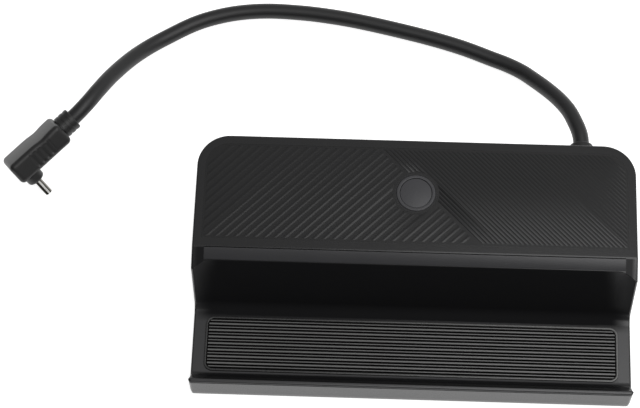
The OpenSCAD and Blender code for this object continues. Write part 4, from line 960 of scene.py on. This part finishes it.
# how far each face lies inside the mat's round-cornered outline
past = (np.abs(middle[:, :2] - (0, MAT_Y + MAT_D / 2)) - np.array([MAT_W / 2, MAT_D / 2]) + MAT_R)
inside = MAT_R - np.hypot(*np.maximum(past, 0).T) - np.minimum(past.max(1), 0)
# the grooves' bottoms get painted shade, and the border its finish with painted shade on its left
second_finishes(ribbed_mat, (SHADED_GROOVE, (facing[:, 2] > 0.9) & (middle[:, 2] < MAT_FACE + 0.2)),
                (BORDER, (inside < MAT_BORDER + 0.02) & (middle[:, 2] > MAT_FACE + 0.05)))

# ---------- button
RING_ROUND, BUTTON_ROUND = 0.25, 0.12
ring_w, ring_top, cap_low = RING_R - CAP_R - CAP_GAP, BODY_H + RING_PROUD, wall_z - FLANGE_GAP
ring_profile = ([(0, seat_z)] + soft_edge(0, ring_top, RING_ROUND, "up")
                + soft_edge(ring_w, ring_top, BUTTON_ROUND, "down") + [(ring_w, seat_z)])
piece("button_ring_piece", stack(circle_outline(RING_R, y=BUTTON_Y), ring_profile, hollow=True),
      BUTTON, "button_plastic", "button_ring", smooth_angle=20.0)

cap_profile = ([(-FLANGE_OUT, cap_low - FLANGE_T), (-FLANGE_OUT, cap_low), (0, cap_low)]
               + soft_edge(0, BODY_H - 0.03, BUTTON_ROUND, "up"))
piece("button_cap_piece", stack(circle_outline(CAP_R, y=BUTTON_Y), cap_profile), BUTTON,
      "button_plastic", "button_cap", body="button", smooth_angle=20.0)

# ---------- finishes of the nodes that stay
FINISH = {HOUSING: ["base_cover"], LAMINATE: ["main_board", "button_board"], FOOT: ["rubber_foot"],
          ALUMINIUM: ["heat_sink"], SHEET: ["ballast_plate"],
          CARRIER: ["hub_chip", "tact_switch", "switch_plunger", "hdmi_tongue", "usb_c_tongue",
                    "usb_a_tongue", "plug_tongue"],
          NICKEL: ["hdmi_port", "usb_c_port", "usb_a_port"],
          ZINC: ["case_screw", "board_screw", "button_screw"]}
for name, obj in nodes.items():
    for finish, names in FINISH.items():
        if name in names or name.rstrip("_0123456789") in names:
            obj.data.materials.clear()
            obj.data.materials.append(finish)

# ---------- floor and light
TABLE_HALF, WHITE = 4000, (1, 1, 1, 1)
MIRRORED, SEEN = 0.7, 0.12         # glow of the floor in reflections, and what the camera adds

f = TABLE_HALF
floor = mesh_object("floor", [(-f, -f, 0), (f, -f, 0), (f, f, 0), (-f, f, 0)], [(0, 1, 2, 3)])
# White paper that glows only as it is seen and mirrored, so it doesn't light the object
paper = bpy.data.materials.new("white_paper")
tree, shader = shader_of(paper)
shader["Base Color"].default_value = linear("#ebebeb")
shader["Roughness"].default_value = 0.9
rays = add(tree, "ShaderNodeLightPath").outputs
seen = calc(tree, "ADD", rays["Is Camera Ray"], rays["Is Glossy Ray"])
seen = calc(tree, "ADD", seen, rays["Is Transmission Ray"], clamp=True)
glow = calc(tree, "ADD", calc(tree, "MULTIPLY", seen, MIRRORED),
            calc(tree, "MULTIPLY", rays["Is Camera Ray"], SEEN))
shader["Emission Color"].default_value = WHITE
tree.links.new(glow, shader["Emission Strength"])
floor.data.materials.append(paper)

# A studio room: dim at the front and on the left, paler at the rear and on the right
PALE_SIDE = (0.7, 0.7, 0.2)
world = bpy.data.worlds.new("studio")
bpy.context.scene.world = world
world.use_nodes = True
tree = world.node_tree
view = add(tree, "ShaderNodeTexCoord").outputs["Generated"]
towards = add(tree, "ShaderNodeVectorMath", {0: view}, {1: PALE_SIDE}, operation="DOT_PRODUCT")
level = add(tree, "ShaderNodeMapRange", {"Value": towards.outputs["Value"]},
            {"From Min": -0.6, "From Max": 0.8, "To Min": 0.1, "To Max": 0.65})
tree.nodes["Background"].inputs["Color"].default_value = WHITE
tree.links.new(level.outputs["Result"], tree.nodes["Background"].inputs["Strength"])


def softbox(name, at, size, watts):
    """A rectangular area lamp that faces the object."""
    lamp = bpy.data.lights.new(name, "AREA")
    lamp.shape = "RECTANGLE"
    lamp.size, lamp.size_y = size
    lamp.energy = watts
    obj = bpy.data.objects.new(name, lamp)
    bpy.context.scene.collection.objects.link(obj)
    obj.location = at
    aim = -obj.location.normalized()
    obj.rotation_euler = aim.to_track_quat("-Z", "Y").to_euler()


softbox("key_box", (0.33, -0.08, 1.2), (0.9, 0.8), 5.5)
softbox("front_box", (0.38, -0.52, 1.03), (0.5, 0.4), 1.3)
bpy.context.scene.view_settings.view_transform = "Standard"
